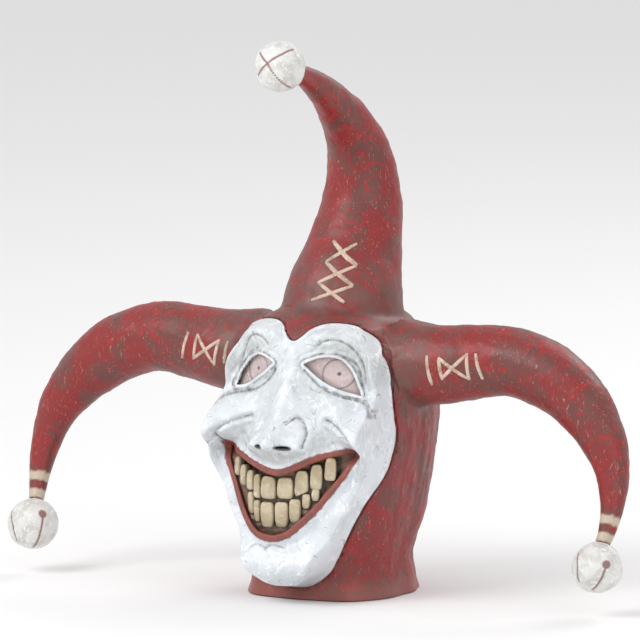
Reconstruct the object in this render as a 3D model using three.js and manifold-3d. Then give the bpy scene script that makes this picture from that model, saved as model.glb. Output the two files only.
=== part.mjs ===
// An over-the-head jester mask: a red cowl on an open neck, a broad white grinning face
// set into its front, eyes and two rows of teeth behind the openings of the face, and three
// hollow horns that each end in a white ball.
// Millimetres, +Z up, the face looks along -Y. The neck rim stands on z = 0.
import * as THREE from "three";
import { mergeVertices } from "three/addons/utils/BufferGeometryUtils.js";
import Module from "manifold-3d";

const wasm = await Module();
wasm.setup();

// Driving dimensions.
const COWL_HALF_WIDTH = 97;
const COWL_FRONT = 118;
const COWL_BACK = 118;
const COWL_WALL = 3;
const NECK_HEIGHT = 73;
const CROWN_RISE = 15;
const FACE_WIDTH = 188;
const FACE_HEIGHT = 266;
const FACE_FOOT = 11;
const FACE_DEPTH = 102;
const FACE_PROUD = 2;
const FACE_WALL = 3;
const FACE_CURVE = 12;
const BROW_SLOPE = 9;
const NOSE_REACH = 40;
const NOSE_WIDTH = 74;
const NOSE_HEIGHT = 64;
const NOSE_RISE = 11;
const CHIN_REACH = 32;
const CHIN_HEIGHT = 51;
const CHEEK_REACH = 26;
const SOCKET_DEPTH = 11;
const BROW_REACH = 6;
const MUZZLE_REACH = 26;
const JOWL_REACH = 14;
const CORNER_DEPTH = 12;
const JOINT_GAP = 0.3;
const MOUTH_WIDTH = 148;
const MOUTH_HEIGHT = 91;
const EYE_SPACING = 92;
const EYE_DROP = 49;
const EYE_WIDTH = 58;
const EYE_HEIGHT = 39;
const EYEBALL_RADIUS = 36;
const EYEBALL_WALL = 3;
const SIGHT_HOLE_RADIUS = 1.8;
const NOSTRIL_LENGTH = 13;
const NOSTRIL_HEIGHT = 5;
const NOSTRIL_SPACING = 27;
const NOSTRIL_DROP = 4;
const TOOTH_THICKNESS = 8;
const TOOTH_GAP = 1.2;
const TEETH_SUNK = 6;
const TEETH_CURVE = 26;
const GUM_THICKNESS = 3;
const GUM_OVERLAP = 4;
const PLATE_MARGIN = 7;
const SEAT_WIDTH = 4;
const SEAT_REVEAL = 1.5;
const SEAT_DEPTH = 12;
const BITE_RISE = 37;
const BITE_GAP = 2;
const SIDE_HORN_REACH = 319;
const SIDE_HORN_BELOW_CROWN = 59;
const SIDE_HORN_RADIUS = 44;
const TOP_HORN_HEIGHT = 268;
const TOP_HORN_BELOW_CROWN = 24;
const TOP_HORN_RADIUS = 57;
const HORN_WALL = 3;
const BALL_RADIUS = 25.5;

// Levels that follow from the sizes above.
const COWL_HEIGHT = FACE_FOOT + FACE_HEIGHT + CROWN_RISE;
const MOUTH_FOOT = FACE_FOOT + CHIN_HEIGHT;
const NOSE_LEVEL = MOUTH_FOOT + MOUTH_HEIGHT + NOSE_RISE;
const EYE_LEVEL = FACE_FOOT + FACE_HEIGHT - EYE_DROP;
const BITE_LEVEL = MOUTH_FOOT + BITE_RISE;
const SIDE_HORN_LEVEL = COWL_HEIGHT - SIDE_HORN_BELOW_CROWN;
const TOP_HORN_LEVEL = COWL_HEIGHT - TOP_HORN_BELOW_CROWN;

// Sections of the cowl from the neck up, as shares of its height, half width, front and back.
const COWL_SECTIONS = [
  { up: 0.0, wide: 0.83, front: 0.73, back: 0.76 },
  { up: 0.04, wide: 0.79, front: 0.7, back: 0.71 },
  { up: 0.12, wide: 0.76, front: 0.71, back: 0.67 },
  { up: 0.25, wide: 0.88, front: 0.84, back: 0.76 },
  { up: 0.38, wide: 0.95, front: 0.92, back: 0.87 },
  { up: 0.5, wide: 0.99, front: 0.97, back: 0.96 },
  { up: 0.63, wide: 1.0, front: 1.0, back: 1.0 },
  { up: 0.75, wide: 0.98, front: 0.97, back: 0.98 },
  { up: 0.85, wide: 0.9, front: 0.89, back: 0.91 },
  { up: 0.93, wide: 0.74, front: 0.72, back: 0.76 },
  { up: 0.98, wide: 0.48, front: 0.46, back: 0.5 },
];
const COWL_SQUARENESS = 3;

// The outline of the face from the dip between the brows down its side to the chin,
// as shares of half the face's width and of its height.
const FACE_OUTLINE = [
  { side: 0.0, up: 0.94 },
  { side: 0.08, up: 0.953 },
  { side: 0.19, up: 0.99 },
  { side: 0.34, up: 1.004 },
  { side: 0.53, up: 0.998 },
  { side: 0.76, up: 0.965 },
  { side: 0.9, up: 0.9 },
  { side: 0.97, up: 0.8 },
  { side: 0.995, up: 0.69 },
  { side: 0.99, up: 0.58 },
  { side: 0.93, up: 0.455 },
  { side: 0.76, up: 0.31 },
  { side: 0.62, up: 0.19 },
  { side: 0.52, up: 0.09 },
  { side: 0.37, up: 0.033 },
  { side: 0.18, up: 0.006 },
  { side: 0.0, up: 0.0 },
];

// The mouth's right half, as shares of half its width and of its height above its foot.
const MOUTH_OUTLINE = [
  { side: 0.0, up: 0.73 },
  { side: 0.34, up: 0.77 },
  { side: 0.68, up: 0.88 },
  { side: 1.0, up: 1.0 },
  { side: 0.93, up: 0.85 },
  { side: 0.62, up: 0.44 },
  { side: 0.3, up: 0.11 },
  { side: 0.0, up: 0.0 },
];

// The eye's opening from its inner corner over the top, as shares of its width and height.
const EYE_OUTLINE = [
  { side: -0.52, up: 0.28 },
  { side: -0.3, up: 0.46 },
  { side: 0.0, up: 0.5 },
  { side: 0.3, up: 0.28 },
  { side: 0.48, up: -0.32 },
  { side: 0.22, up: -0.5 },
  { side: -0.1, up: -0.36 },
  { side: -0.36, up: 0.02 },
];

// A horn's stations from its root to its tip: outward reach, height and forward drift as
// shares of its reach or height, and radius as a share of its root radius.
const SIDE_HORN_STATIONS = [
  { out: 0.24, up: 0.0, ahead: 0.02, radius: 1.04 },
  { out: 0.37, up: 0.004, ahead: 0.03, radius: 0.92 },
  { out: 0.5, up: 0.02, ahead: 0.01, radius: 0.84 },
  { out: 0.64, up: 0.024, ahead: 0.0, radius: 0.79 },
  { out: 0.77, up: -0.02, ahead: 0.0, radius: 0.75 },
  { out: 0.88, up: -0.1, ahead: 0.01, radius: 0.66 },
  { out: 0.96, up: -0.2, ahead: 0.03, radius: 0.52 },
  { out: 1.0, up: -0.3, ahead: 0.05, radius: 0.38 },
  { out: 1.012, up: -0.4, ahead: 0.08, radius: 0.27 },
  { out: 1.008, up: -0.475, ahead: 0.11, radius: 0.2 },
  { out: 1.003, up: -0.505, ahead: 0.13, radius: 0.18 },
];
const SIDE_BALL_DOWN_SHARE = 0.575;
const SIDE_BALL_AHEAD_SHARE = 0.155;
const TOP_HORN_STATIONS = [
  { up: 0.0, ahead: -0.04, radius: 1.1 },
  { up: 0.1, ahead: -0.06, radius: 1.04 },
  { up: 0.25, ahead: -0.135, radius: 0.86 },
  { up: 0.43, ahead: -0.2, radius: 0.71 },
  { up: 0.61, ahead: -0.175, radius: 0.57 },
  { up: 0.75, ahead: -0.07, radius: 0.44 },
  { up: 0.86, ahead: 0.07, radius: 0.31 },
  { up: 0.94, ahead: 0.22, radius: 0.21 },
  { up: 0.99, ahead: 0.37, radius: 0.15 },
];
const TOP_BALL_UP_SHARE = 1.015;
const TOP_BALL_AHEAD_SHARE = 0.45;

// The teeth on one side of each row from the middle out: width as a share of half the
// mouth's width, and height above or below the bite as a share of the mouth's height.
const UPPER_TEETH = [
  { width: 0.2, height: 0.27 },
  { width: 0.19, height: 0.26 },
  { width: 0.17, height: 0.23 },
  { width: 0.14, height: 0.2 },
  { width: 0.12, height: 0.15 },
];
const LOWER_TEETH = [
  { width: 0.18, height: 0.28 },
  { width: 0.16, height: 0.24 },
  { width: 0.13, height: 0.16 },
  { width: 0.11, height: 0.1 },
];

// The raised and sunk forms of one half of the face, each a soft hill over x and z.
const FACE_FORMS = [
  { x: 0, z: NOSE_LEVEL, wide: NOSE_WIDTH * 0.32, high: NOSE_HEIGHT * 0.29, reach: NOSE_REACH },
  {
    x: NOSE_WIDTH * 0.4,
    z: NOSE_LEVEL - NOSTRIL_DROP,
    wide: NOSE_WIDTH * 0.16,
    high: NOSE_HEIGHT * 0.2,
    reach: NOSE_REACH * 0.5,
  },
  {
    x: 0,
    z: NOSE_LEVEL + NOSE_HEIGHT * 0.43,
    wide: NOSE_WIDTH * 0.19,
    high: NOSE_HEIGHT * 0.47,
    reach: NOSE_REACH * 0.5,
  },
  {
    x: 0,
    z: FACE_FOOT + CHIN_HEIGHT * 0.5,
    wide: FACE_WIDTH * 0.31,
    high: CHIN_HEIGHT * 0.55,
    reach: CHIN_REACH,
  },
  {
    x: FACE_WIDTH * 0.42,
    z: NOSE_LEVEL + NOSE_HEIGHT * 0.14,
    wide: FACE_WIDTH * 0.12,
    high: MOUTH_HEIGHT * 0.21,
    reach: CHEEK_REACH,
  },
  {
    x: FACE_WIDTH * 0.465,
    z: MOUTH_FOOT + MOUTH_HEIGHT * 1.02,
    wide: FACE_WIDTH * 0.05,
    high: MOUTH_HEIGHT * 0.35,
    reach: JOWL_REACH,
  },
  {
    x: MOUTH_WIDTH * 0.5,
    z: MOUTH_FOOT + MOUTH_HEIGHT,
    wide: MOUTH_WIDTH * 0.09,
    high: MOUTH_HEIGHT * 0.11,
    reach: -CORNER_DEPTH,
  },
  {
    x: 0,
    z: MOUTH_FOOT + MOUTH_HEIGHT * 0.5,
    wide: MOUTH_WIDTH * 0.33,
    high: MOUTH_HEIGHT * 0.48,
    reach: MUZZLE_REACH,
  },
  {
    x: EYE_SPACING * 0.52,
    z: EYE_LEVEL + EYE_HEIGHT,
    wide: EYE_WIDTH * 0.58,
    high: EYE_HEIGHT * 0.26,
    reach: BROW_REACH,
  },
  {
    x: EYE_SPACING * 0.5,
    z: EYE_LEVEL + EYE_HEIGHT * 0.1,
    wide: EYE_WIDTH * 0.52,
    high: EYE_HEIGHT * 0.51,
    reach: -SOCKET_DEPTH,
  },
];

// The share of the way to the rim over which the face runs down on to the cowl.
const RIM_BLEND_SHARE = 0.06;

const COWL_SIDES = 28;
const FACE_SPOKES = 40;
const FACE_RINGS = 12;
const HORN_SIDES = 12;
const STATION_DENSITY = 1.55;
const EYE_STEPS = 16;
const STRIP_STEPS = 10;
const SQUARENESS_OF_TEETH = 0.62;

const RED = new THREE.MeshStandardMaterial({ color: "#8e2a2c", roughness: 0.45 });
const WHITE = new THREE.MeshStandardMaterial({ color: "#d9dde0", roughness: 0.4 });
const BALL_WHITE = new THREE.MeshStandardMaterial({ color: "#dcdcd8", roughness: 0.5 });
const EYE_PINK = new THREE.MeshStandardMaterial({ color: "#cbb8b8", roughness: 0.35 });
const IVORY = new THREE.MeshStandardMaterial({ color: "#bdb491", roughness: 0.35 });
const GUM = new THREE.MeshStandardMaterial({ color: "#6d4a3c", roughness: 0.5 });

// Linear interpolation of a table's column at a value of its key column.
function columnAt(rows, key, column, value) {
  if (value <= rows[0][key]) return rows[0][column];
  for (let i = 1; i < rows.length; i++) {
    if (value <= rows[i][key]) {
      const share = (value - rows[i - 1][key]) / (rows[i][key] - rows[i - 1][key]);
      return THREE.MathUtils.lerp(rows[i - 1][column], rows[i][column], share);
    }
  }
  return rows[rows.length - 1][column];
}

// A closed surface from a first point, a list of rings and a last point, faces outwards.
function loftRings(first, rings, last) {
  const sides = rings[0].length;
  const points = [first, ...rings.flat(), last];
  const faces = [];
  const at = (ring, side) => 1 + ring * sides + (side % sides);
  for (let side = 0; side < sides; side++) {
    faces.push([0, at(0, side + 1), at(0, side)]);
    for (let ring = 0; ring + 1 < rings.length; ring++) {
      faces.push([at(ring, side), at(ring, side + 1), at(ring + 1, side + 1)]);
      faces.push([at(ring, side), at(ring + 1, side + 1), at(ring + 1, side)]);
    }
    faces.push([points.length - 1, at(rings.length - 1, side), at(rings.length - 1, side + 1)]);
  }
  let volume = 0;
  for (const [a, b, c] of faces) {
    volume += points[a].dot(new THREE.Vector3().crossVectors(points[b], points[c]));
  }
  const index = faces.flatMap(([a, b, c]) => (volume < 0 ? [a, c, b] : [a, b, c]));
  const geometry = new THREE.BufferGeometry().setFromPoints(points);
  geometry.setIndex(index);
  return geometry;
}

function toSolid(geometry) {
  const bare = geometry.clone();
  bare.deleteAttribute("normal");
  bare.deleteAttribute("uv");
  const merged = mergeVertices(bare, 1e-4);
  return new wasm.Manifold(
    new wasm.Mesh({
      numProp: 3,
      vertProperties: merged.attributes.position.array,
      triVerts: new Uint32Array(merged.index.array),
    }),
  );
}

function toGeometry(solid) {
  const mesh = solid.getMesh();
  const geometry = new THREE.BufferGeometry();
  geometry.setAttribute("position", new THREE.BufferAttribute(mesh.vertProperties, 3));
  geometry.setIndex(new THREE.BufferAttribute(mesh.triVerts, 1));
  return geometry;
}

// The largest of the bodies that a cut leaves, without its slivers.
function largest(solid) {
  return solid.decompose().sort((a, b) => b.volume() - a.volume())[0];
}

function named(name, solid, material) {
  const mesh = new THREE.Mesh(toGeometry(solid), material);
  mesh.name = name;
  return mesh;
}

// A prism along Y with the outline's points as X and Z, from y = near to y = far.
function prism(outline, near, far) {
  const shape = new THREE.Shape(outline.map((p) => new THREE.Vector2(p.x, p.y)));
  const geometry = new THREE.ExtrudeGeometry(shape, {
    depth: far - near,
    bevelEnabled: false,
  });
  geometry.rotateX(Math.PI / 2);
  geometry.translate(0, far, 0);
  return toSolid(geometry);
}

// The cowl's half width, front and back reach at a height, grown by an offset.
function cowlSection(z, offset) {
  const share = z / COWL_HEIGHT;
  return {
    wide: COWL_HALF_WIDTH * columnAt(COWL_SECTIONS, "up", "wide", share) + offset,
    front: COWL_FRONT * columnAt(COWL_SECTIONS, "up", "front", share) + offset,
    back: COWL_BACK * columnAt(COWL_SECTIONS, "up", "back", share) + offset,
  };
}

// One ring of the cowl: squarish in front, where the face is, and elliptical behind.
function cowlRing(z, offset) {
  const section = cowlSection(z, offset);
  return Array.from({ length: COWL_SIDES }, (_, side) => {
    const angle = (side / COWL_SIDES) * 2 * Math.PI;
    const [across, along] = [Math.cos(angle), Math.sin(angle)];
    const power = along < 0 ? 2 / COWL_SQUARENESS : 1;
    const x = section.wide * Math.sign(across) * Math.abs(across) ** power;
    const reach = along < 0 ? section.front : section.back;
    return new THREE.Vector3(x, reach * Math.sign(along) * Math.abs(along) ** power, z);
  });
}

// How far in front of the axis the cowl's outer surface is at x and z.
function cowlFrontAt(x, z) {
  const section = cowlSection(z, 0);
  const across = Math.min(Math.abs(x) / section.wide, 0.999);
  return section.front * (1 - across ** COWL_SQUARENESS) ** (1 / COWL_SQUARENESS);
}

function cowlRings(offset, foot) {
  return COWL_SECTIONS.map((row, i) => {
    const z = i === 0 ? foot : row.up * COWL_HEIGHT + (row.up > 0.9 ? offset * 0.6 : 0);
    return cowlRing(Math.max(z, foot), offset);
  });
}

function cowlOuter(offset, foot) {
  const rings = cowlRings(offset, foot);
  return toSolid(
    loftRings(
      new THREE.Vector3(0, 0, foot),
      rings,
      new THREE.Vector3(0, 0, COWL_HEIGHT + offset),
    ),
  );
}

// Both halves of an outline table, as points around the whole outline.
function mirroredOutline(rows, halfWidth, height, foot) {
  const right = rows.map((row) => new THREE.Vector2(row.side * halfWidth, foot + row.up * height));
  const left = right
    .slice(1, -1)
    .reverse()
    .map((point) => new THREE.Vector2(-point.x, point.y));
  return [...right, ...left];
}

// The face's outline as a smooth closed curve through its table, grown by an offset.
function faceOutline(offset, count) {
  const corners = mirroredOutline(FACE_OUTLINE, FACE_WIDTH / 2, FACE_HEIGHT, FACE_FOOT);
  const curve = new THREE.CatmullRomCurve3(
    corners.map((point) => new THREE.Vector3(point.x, point.y, 0)),
    true,
    "catmullrom",
    0.4,
  );
  return Array.from({ length: count }, (_, i) => {
    const point = curve.getPointAt(i / count);
    const along = curve.getTangentAt(i / count);
    return new THREE.Vector2(point.x - along.y * offset, point.y + along.x * offset);
  });
}

// How far in front of the axis the modelled face is at x and z, away from its rim.
function faceReachAt(x, z) {
  const side = Math.abs(x);
  const browEase = Math.max(0, z - EYE_LEVEL) / EYE_HEIGHT;
  const curve = FACE_CURVE * (side / (FACE_WIDTH / 2)) ** 3;
  const hills = FACE_FORMS.map((form) => {
    const spread = ((side - form.x) / form.wide) ** 2 + ((z - form.z) / form.high) ** 2;
    return form.reach * Math.exp(-spread);
  });
  return hills.reduce((sum, hill) => sum + hill, FACE_DEPTH - curve - BROW_SLOPE * browEase ** 2);
}

// The face's front and rear surfaces as rings from its middle out to its rim.
function faceSurfaces() {
  const rim = faceOutline(-JOINT_GAP, FACE_SPOKES);
  const middle = new THREE.Vector2(0, FACE_FOOT + FACE_HEIGHT * 0.5);
  const pointAt = (share, spoke) => {
    const flat = middle.clone().lerp(rim[spoke], share);
    const rimReach = cowlFrontAt(flat.x, flat.y) + FACE_PROUD;
    const blend = THREE.MathUtils.smoothstep(1 - share, 0, RIM_BLEND_SHARE);
    const reach = THREE.MathUtils.lerp(rimReach, faceReachAt(flat.x, flat.y), blend);
    return new THREE.Vector3(flat.x, -reach, flat.y);
  };
  const shares = Array.from({ length: FACE_RINGS }, (_, i) => {
    return Math.min(1, ((i + 1) / FACE_RINGS) ** 0.85);
  });
  const front = shares.map((share) => rim.map((_, spoke) => pointAt(share, spoke)));
  const frontPole = new THREE.Vector3(0, -faceReachAt(0, middle.y), middle.y);
  const rear = front.map((ring) =>
    ring.map((point) => {
      const inward = new THREE.Vector3(-point.x, 0, middle.y - point.z);
      const steep = inward.length() / (FACE_WIDTH / 2);
      inward.setLength(FACE_WALL * Math.min(1, steep) * 0.8);
      return point.clone().add(inward).add(new THREE.Vector3(0, FACE_WALL, 0));
    }),
  );
  const rearPole = frontPole.clone().add(new THREE.Vector3(0, FACE_WALL, 0));
  return { front, frontPole, rear, rearPole };
}

function faceShell() {
  const { front, frontPole, rear, rearPole } = faceSurfaces();
  return toSolid(loftRings(frontPole, [...front, ...rear.reverse()], rearPole));
}

// All the room behind the face's rear surface, a gap away from it.
function roomBehindFace() {
  const { rear, rearPole } = faceSurfaces();
  const gap = new THREE.Vector3(0, JOINT_GAP, 0);
  const rings = rear.map((ring) => ring.map((point) => point.clone().add(gap))).reverse();
  const last = rear[rear.length - 1].map((point) => new THREE.Vector3(point.x, 0, point.z));
  const backPole = new THREE.Vector3(0, 0, rearPole.z);
  return toSolid(loftRings(backPole, [last, ...rings], rearPole.clone().add(gap)));
}

function eyeOutline(side, offset) {
  const middle = new THREE.Vector2((side * EYE_SPACING) / 2, EYE_LEVEL);
  const curve = new THREE.CatmullRomCurve3(
    EYE_OUTLINE.map(
      (row) => new THREE.Vector3(side * row.side * EYE_WIDTH, row.up * EYE_HEIGHT, 0),
    ),
    true,
  );
  return Array.from({ length: EYE_STEPS }, (_, i) => {
    const point = curve.getPointAt(i / EYE_STEPS);
    const grown = new THREE.Vector2(point.x, point.y);
    grown.setLength(grown.length() + offset);
    return grown.add(middle);
  });
}

function nostrilOutline(side) {
  const middle = (side * NOSTRIL_SPACING) / 2;
  const level = NOSE_LEVEL - NOSTRIL_DROP;
  return Array.from({ length: 10 }, (_, i) => {
    const angle = (i / 10) * 2 * Math.PI;
    return new THREE.Vector2(
      middle + (NOSTRIL_LENGTH / 2) * Math.cos(angle),
      level + (NOSTRIL_HEIGHT / 2) * Math.sin(angle),
    );
  });
}

const FAR_AHEAD = -2 * COWL_FRONT;
const PLATE_REAR = COWL_FRONT * 0.55;

// The mouth's outline, grown all round by an offset.
function mouthOutline(offset) {
  const half = MOUTH_WIDTH / 2;
  const grow = (half + offset) / half;
  const points = mirroredOutline(MOUTH_OUTLINE, half, MOUTH_HEIGHT, MOUTH_FOOT);
  const level = MOUTH_FOOT + MOUTH_HEIGHT * 0.6;
  return points.map((point) => {
    const rise = point.y > level ? offset : -offset;
    return new THREE.Vector2(point.x * grow, offset ? point.y + rise : point.y);
  });
}

function faceSolid() {
  let face = faceShell().subtract(prism(mouthOutline(0), FAR_AHEAD, 0));
  for (const side of [-1, 1]) {
    face = face.subtract(prism(eyeOutline(side, 0), FAR_AHEAD, 0));
    face = face.subtract(prism(nostrilOutline(side), FAR_AHEAD, 0));
  }
  return face;
}

// Points and radii along a horn, smoothed from its stations.
function hornStations(rows, place, rootRadius) {
  const curve = new THREE.CatmullRomCurve3(rows.map(place));
  const count = Math.round(rows.length * STATION_DENSITY);
  return Array.from({ length: count }, (_, i) => {
    const at = i / (count - 1);
    const row = at * (rows.length - 1);
    const low = Math.min(Math.floor(row), rows.length - 2);
    const share = THREE.MathUtils.lerp(rows[low].radius, rows[low + 1].radius, row - low);
    return {
      point: curve.getPoint(at),
      along: curve.getTangent(at),
      radius: share * rootRadius,
    };
  });
}

function hornRing(station, across, inset) {
  const up = new THREE.Vector3().crossVectors(station.along, across).normalize();
  const flat = new THREE.Vector3().crossVectors(up, station.along).normalize();
  const radius = station.radius - inset;
  return Array.from({ length: HORN_SIDES }, (_, side) => {
    const angle = (side / HORN_SIDES) * 2 * Math.PI;
    return station.point
      .clone()
      .addScaledVector(flat, radius * Math.cos(angle))
      .addScaledVector(up, radius * Math.sin(angle));
  });
}

// A solid horn, and the hollow inside it that stops a wall short of its tip.
function hornOuter(stations, across) {
  const rings = stations.map((station) => hornRing(station, across, 0));
  return toSolid(loftRings(stations[0].point, rings, stations[stations.length - 1].point));
}

function hornHollow(stations, across) {
  const inside = stations.slice(0, -2);
  const rings = inside.map((station) => hornRing(station, across, HORN_WALL));
  return toSolid(loftRings(inside[0].point, rings, inside[inside.length - 1].point));
}

// A ball about a horn's tip, or the seat that is cleared for it when grown by a gap.
function ballAt(centre, offset) {
  const geometry = new THREE.SphereGeometry(BALL_RADIUS + offset, 16, 9);
  geometry.rotateX(Math.PI / 2);
  geometry.translate(centre.x, centre.y, centre.z);
  return toSolid(geometry);
}

function sideHornPlace(side) {
  return (row) =>
    new THREE.Vector3(
      side * row.out * SIDE_HORN_REACH,
      -row.ahead * SIDE_HORN_REACH,
      SIDE_HORN_LEVEL + row.up * SIDE_HORN_REACH,
    );
}

function topHornPlace(row) {
  return new THREE.Vector3(
    0,
    -row.ahead * TOP_HORN_HEIGHT,
    TOP_HORN_LEVEL + row.up * TOP_HORN_HEIGHT,
  );
}

// The front of the teeth at x, behind the lips and curved round with them.
function teethReachAt(x) {
  const front = FACE_DEPTH + MUZZLE_REACH - TEETH_SUNK;
  return front - TEETH_CURVE * (x / (MOUTH_WIDTH / 2)) ** 2;
}

function biteAt(x) {
  return BITE_LEVEL + MOUTH_HEIGHT * 0.3 * (x / (MOUTH_WIDTH * 0.42)) ** 2;
}

// One row of teeth, fused to the strip of gum that carries them. Up is 1 or -1.
function toothRow(rows, up) {
  const half = MOUTH_WIDTH / 2;
  let teeth = gumStrip(rows, up);
  for (const side of [-1, 1]) {
    let edge = 0;
    for (const row of rows) {
      const width = row.width * half;
      const x = side * (edge + width / 2);
      const height = row.height * MOUTH_HEIGHT;
      const level = biteAt(x) + up * (BITE_GAP / 2 + height / 2);
      const geometry = new THREE.SphereGeometry(1, 7, 5);
      squareOff(geometry, SQUARENESS_OF_TEETH);
      geometry.scale((width - TOOTH_GAP) / 2, TOOTH_THICKNESS / 2, height / 2);
      geometry.translate(x, -teethReachAt(x) + TOOTH_THICKNESS / 2, level);
      teeth = teeth.add(toSolid(geometry));
      edge += width;
    }
  }
  return teeth;
}

// Pushes a unit sphere's points out towards a cube, so that it looks like a tooth.
function squareOff(geometry, power) {
  const position = geometry.attributes.position;
  for (let i = 0; i < position.count; i++) {
    const values = [position.getX(i), position.getY(i), position.getZ(i)];
    const [x, y, z] = values.map((value) => Math.sign(value) * Math.abs(value) ** power);
    position.setXYZ(i, x, y, z);
  }
}

function middleOf(ring) {
  const sum = ring.reduce((total, point) => total.add(point), new THREE.Vector3());
  return sum.multiplyScalar(1 / ring.length);
}

// A curved strip behind the teeth of one row, from the bite to behind the lip.
function gumStrip(rows, up) {
  const half = MOUTH_WIDTH / 2;
  const reach = rows.reduce((sum, row) => sum + row.width, 0) * half;
  const steps = STRIP_STEPS;
  const behind = TOOTH_THICKNESS * 0.6;
  const rings = Array.from({ length: steps + 1 }, (_, i) => {
    const x = THREE.MathUtils.lerp(-reach, reach, i / steps);
    const front = -teethReachAt(x) + behind;
    const root = columnAt(gumHeights(rows, half), "x", "height", Math.abs(x));
    const low = biteAt(x) + (up * BITE_GAP) / 2;
    const high = biteAt(x) + up * (BITE_GAP / 2 + root);
    return [
      new THREE.Vector3(x, front, low),
      new THREE.Vector3(x, front, high),
      new THREE.Vector3(x, front + GUM_THICKNESS, high),
      new THREE.Vector3(x, front + GUM_THICKNESS, low),
    ];
  });
  return toSolid(loftRings(middleOf(rings[0]), rings, middleOf(rings[steps])));
}

function gumHeights(rows, half) {
  let edge = 0;
  return rows.map((row) => {
    edge += row.width * half;
    return { x: edge - (row.width * half) / 2, height: row.height * MOUTH_HEIGHT + GUM_OVERLAP };
  });
}

// The inside of the mouth: a curved plate behind both rows that closes the opening.
function mouthPlate() {
  const reach = MOUTH_WIDTH / 2 + GUM_THICKNESS;
  const steps = STRIP_STEPS;
  const behind = TOOTH_THICKNESS * 0.6 + GUM_THICKNESS + JOINT_GAP;
  const rows = MOUTH_OUTLINE;
  const upper = rows.slice(0, 4).map((row) => ({ side: row.side, up: row.up }));
  const lower = rows.slice(4).reverse();
  const rings = Array.from({ length: steps + 1 }, (_, i) => {
    const x = THREE.MathUtils.lerp(-reach, reach, i / steps);
    const share = Math.min(1, Math.abs(x) / (MOUTH_WIDTH / 2));
    const front = -teethReachAt(x) + behind;
    const top = MOUTH_FOOT + columnAt(upper, "side", "up", share) * MOUTH_HEIGHT + PLATE_MARGIN;
    const bottom = MOUTH_FOOT + columnAt(lower, "side", "up", share) * MOUTH_HEIGHT - PLATE_MARGIN;
    return [
      new THREE.Vector3(x, front, bottom),
      new THREE.Vector3(x, front, top),
      new THREE.Vector3(x, front + GUM_THICKNESS, top),
      new THREE.Vector3(x, front + GUM_THICKNESS, bottom),
    ];
  });
  const plate = toSolid(loftRings(middleOf(rings[0]), rings, middleOf(rings[steps])));
  const seat = prism(mouthOutline(SEAT_WIDTH + SEAT_REVEAL), FAR_AHEAD, -PLATE_REAR)
    .subtract(prism(mouthOutline(SEAT_REVEAL), FAR_AHEAD, 0))
    .intersect(roomBehindFace());
  return seat.subtract(behindPlate(rings)).add(plate).intersect(roomBehindFace());
}

// The room behind the plate, which its seat must not reach.
function behindPlate(rings) {
  const back = rings.map((ring) => [
    ring[3].clone().setZ(0),
    ring[2].clone().setZ(COWL_HEIGHT),
    new THREE.Vector3(ring[2].x, 0, COWL_HEIGHT),
    new THREE.Vector3(ring[3].x, 0, 0),
  ]);
  return toSolid(loftRings(middleOf(back[0]), back, middleOf(back[back.length - 1])));
}

// A domed eye behind its opening, with a small hole at the pupil to look through.
function eyeSolid(side) {
  const sphere = (radius) => {
    const geometry = new THREE.SphereGeometry(radius, 16, 10);
    geometry.rotateX(Math.PI / 2);
    geometry.translate((side * EYE_SPACING) / 2, -eyeFront() + EYEBALL_RADIUS, EYE_LEVEL);
    return toSolid(geometry);
  };
  const window = prism(eyeOutline(side, SEAT_REVEAL + SEAT_WIDTH), FAR_AHEAD, -eyeFront() + SEAT_DEPTH);
  const sight = Array.from({ length: 8 }, (_, i) => {
    const angle = (i / 8) * 2 * Math.PI;
    return new THREE.Vector2(
      (side * EYE_SPACING) / 2 + SIGHT_HOLE_RADIUS * Math.cos(angle),
      EYE_LEVEL + SIGHT_HOLE_RADIUS * Math.sin(angle),
    );
  });
  const dome = sphere(EYEBALL_RADIUS)
    .subtract(sphere(EYEBALL_RADIUS - EYEBALL_WALL))
    .intersect(window);
  const seat = prism(eyeOutline(side, SEAT_REVEAL + SEAT_WIDTH), FAR_AHEAD, -eyeFront() + SEAT_DEPTH)
    .subtract(prism(eyeOutline(side, SEAT_REVEAL), FAR_AHEAD, 0))
    .subtract(sphere(EYEBALL_RADIUS - EYEBALL_WALL));
  return dome
    .add(seat)
    .intersect(roomBehindFace())
    .subtract(prism(sight, FAR_AHEAD, 0));
}

function eyeFront() {
  return FACE_DEPTH - SOCKET_DEPTH - FACE_WALL;
}

const mask = new THREE.Group();

const cowlHollow = cowlOuter(-COWL_WALL, -1);
const cowlBlock = cowlOuter(0, 0);
const cowlClear = cowlOuter(JOINT_GAP, -1);
let cowl = cowlBlock.subtract(cowlHollow);
cowl = cowl.subtract(prism(faceOutline(0, FACE_SPOKES), FAR_AHEAD, 0));

const face = faceSolid();
const faceGap = prism(faceOutline(0, FACE_SPOKES), FAR_AHEAD, 0);

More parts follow.
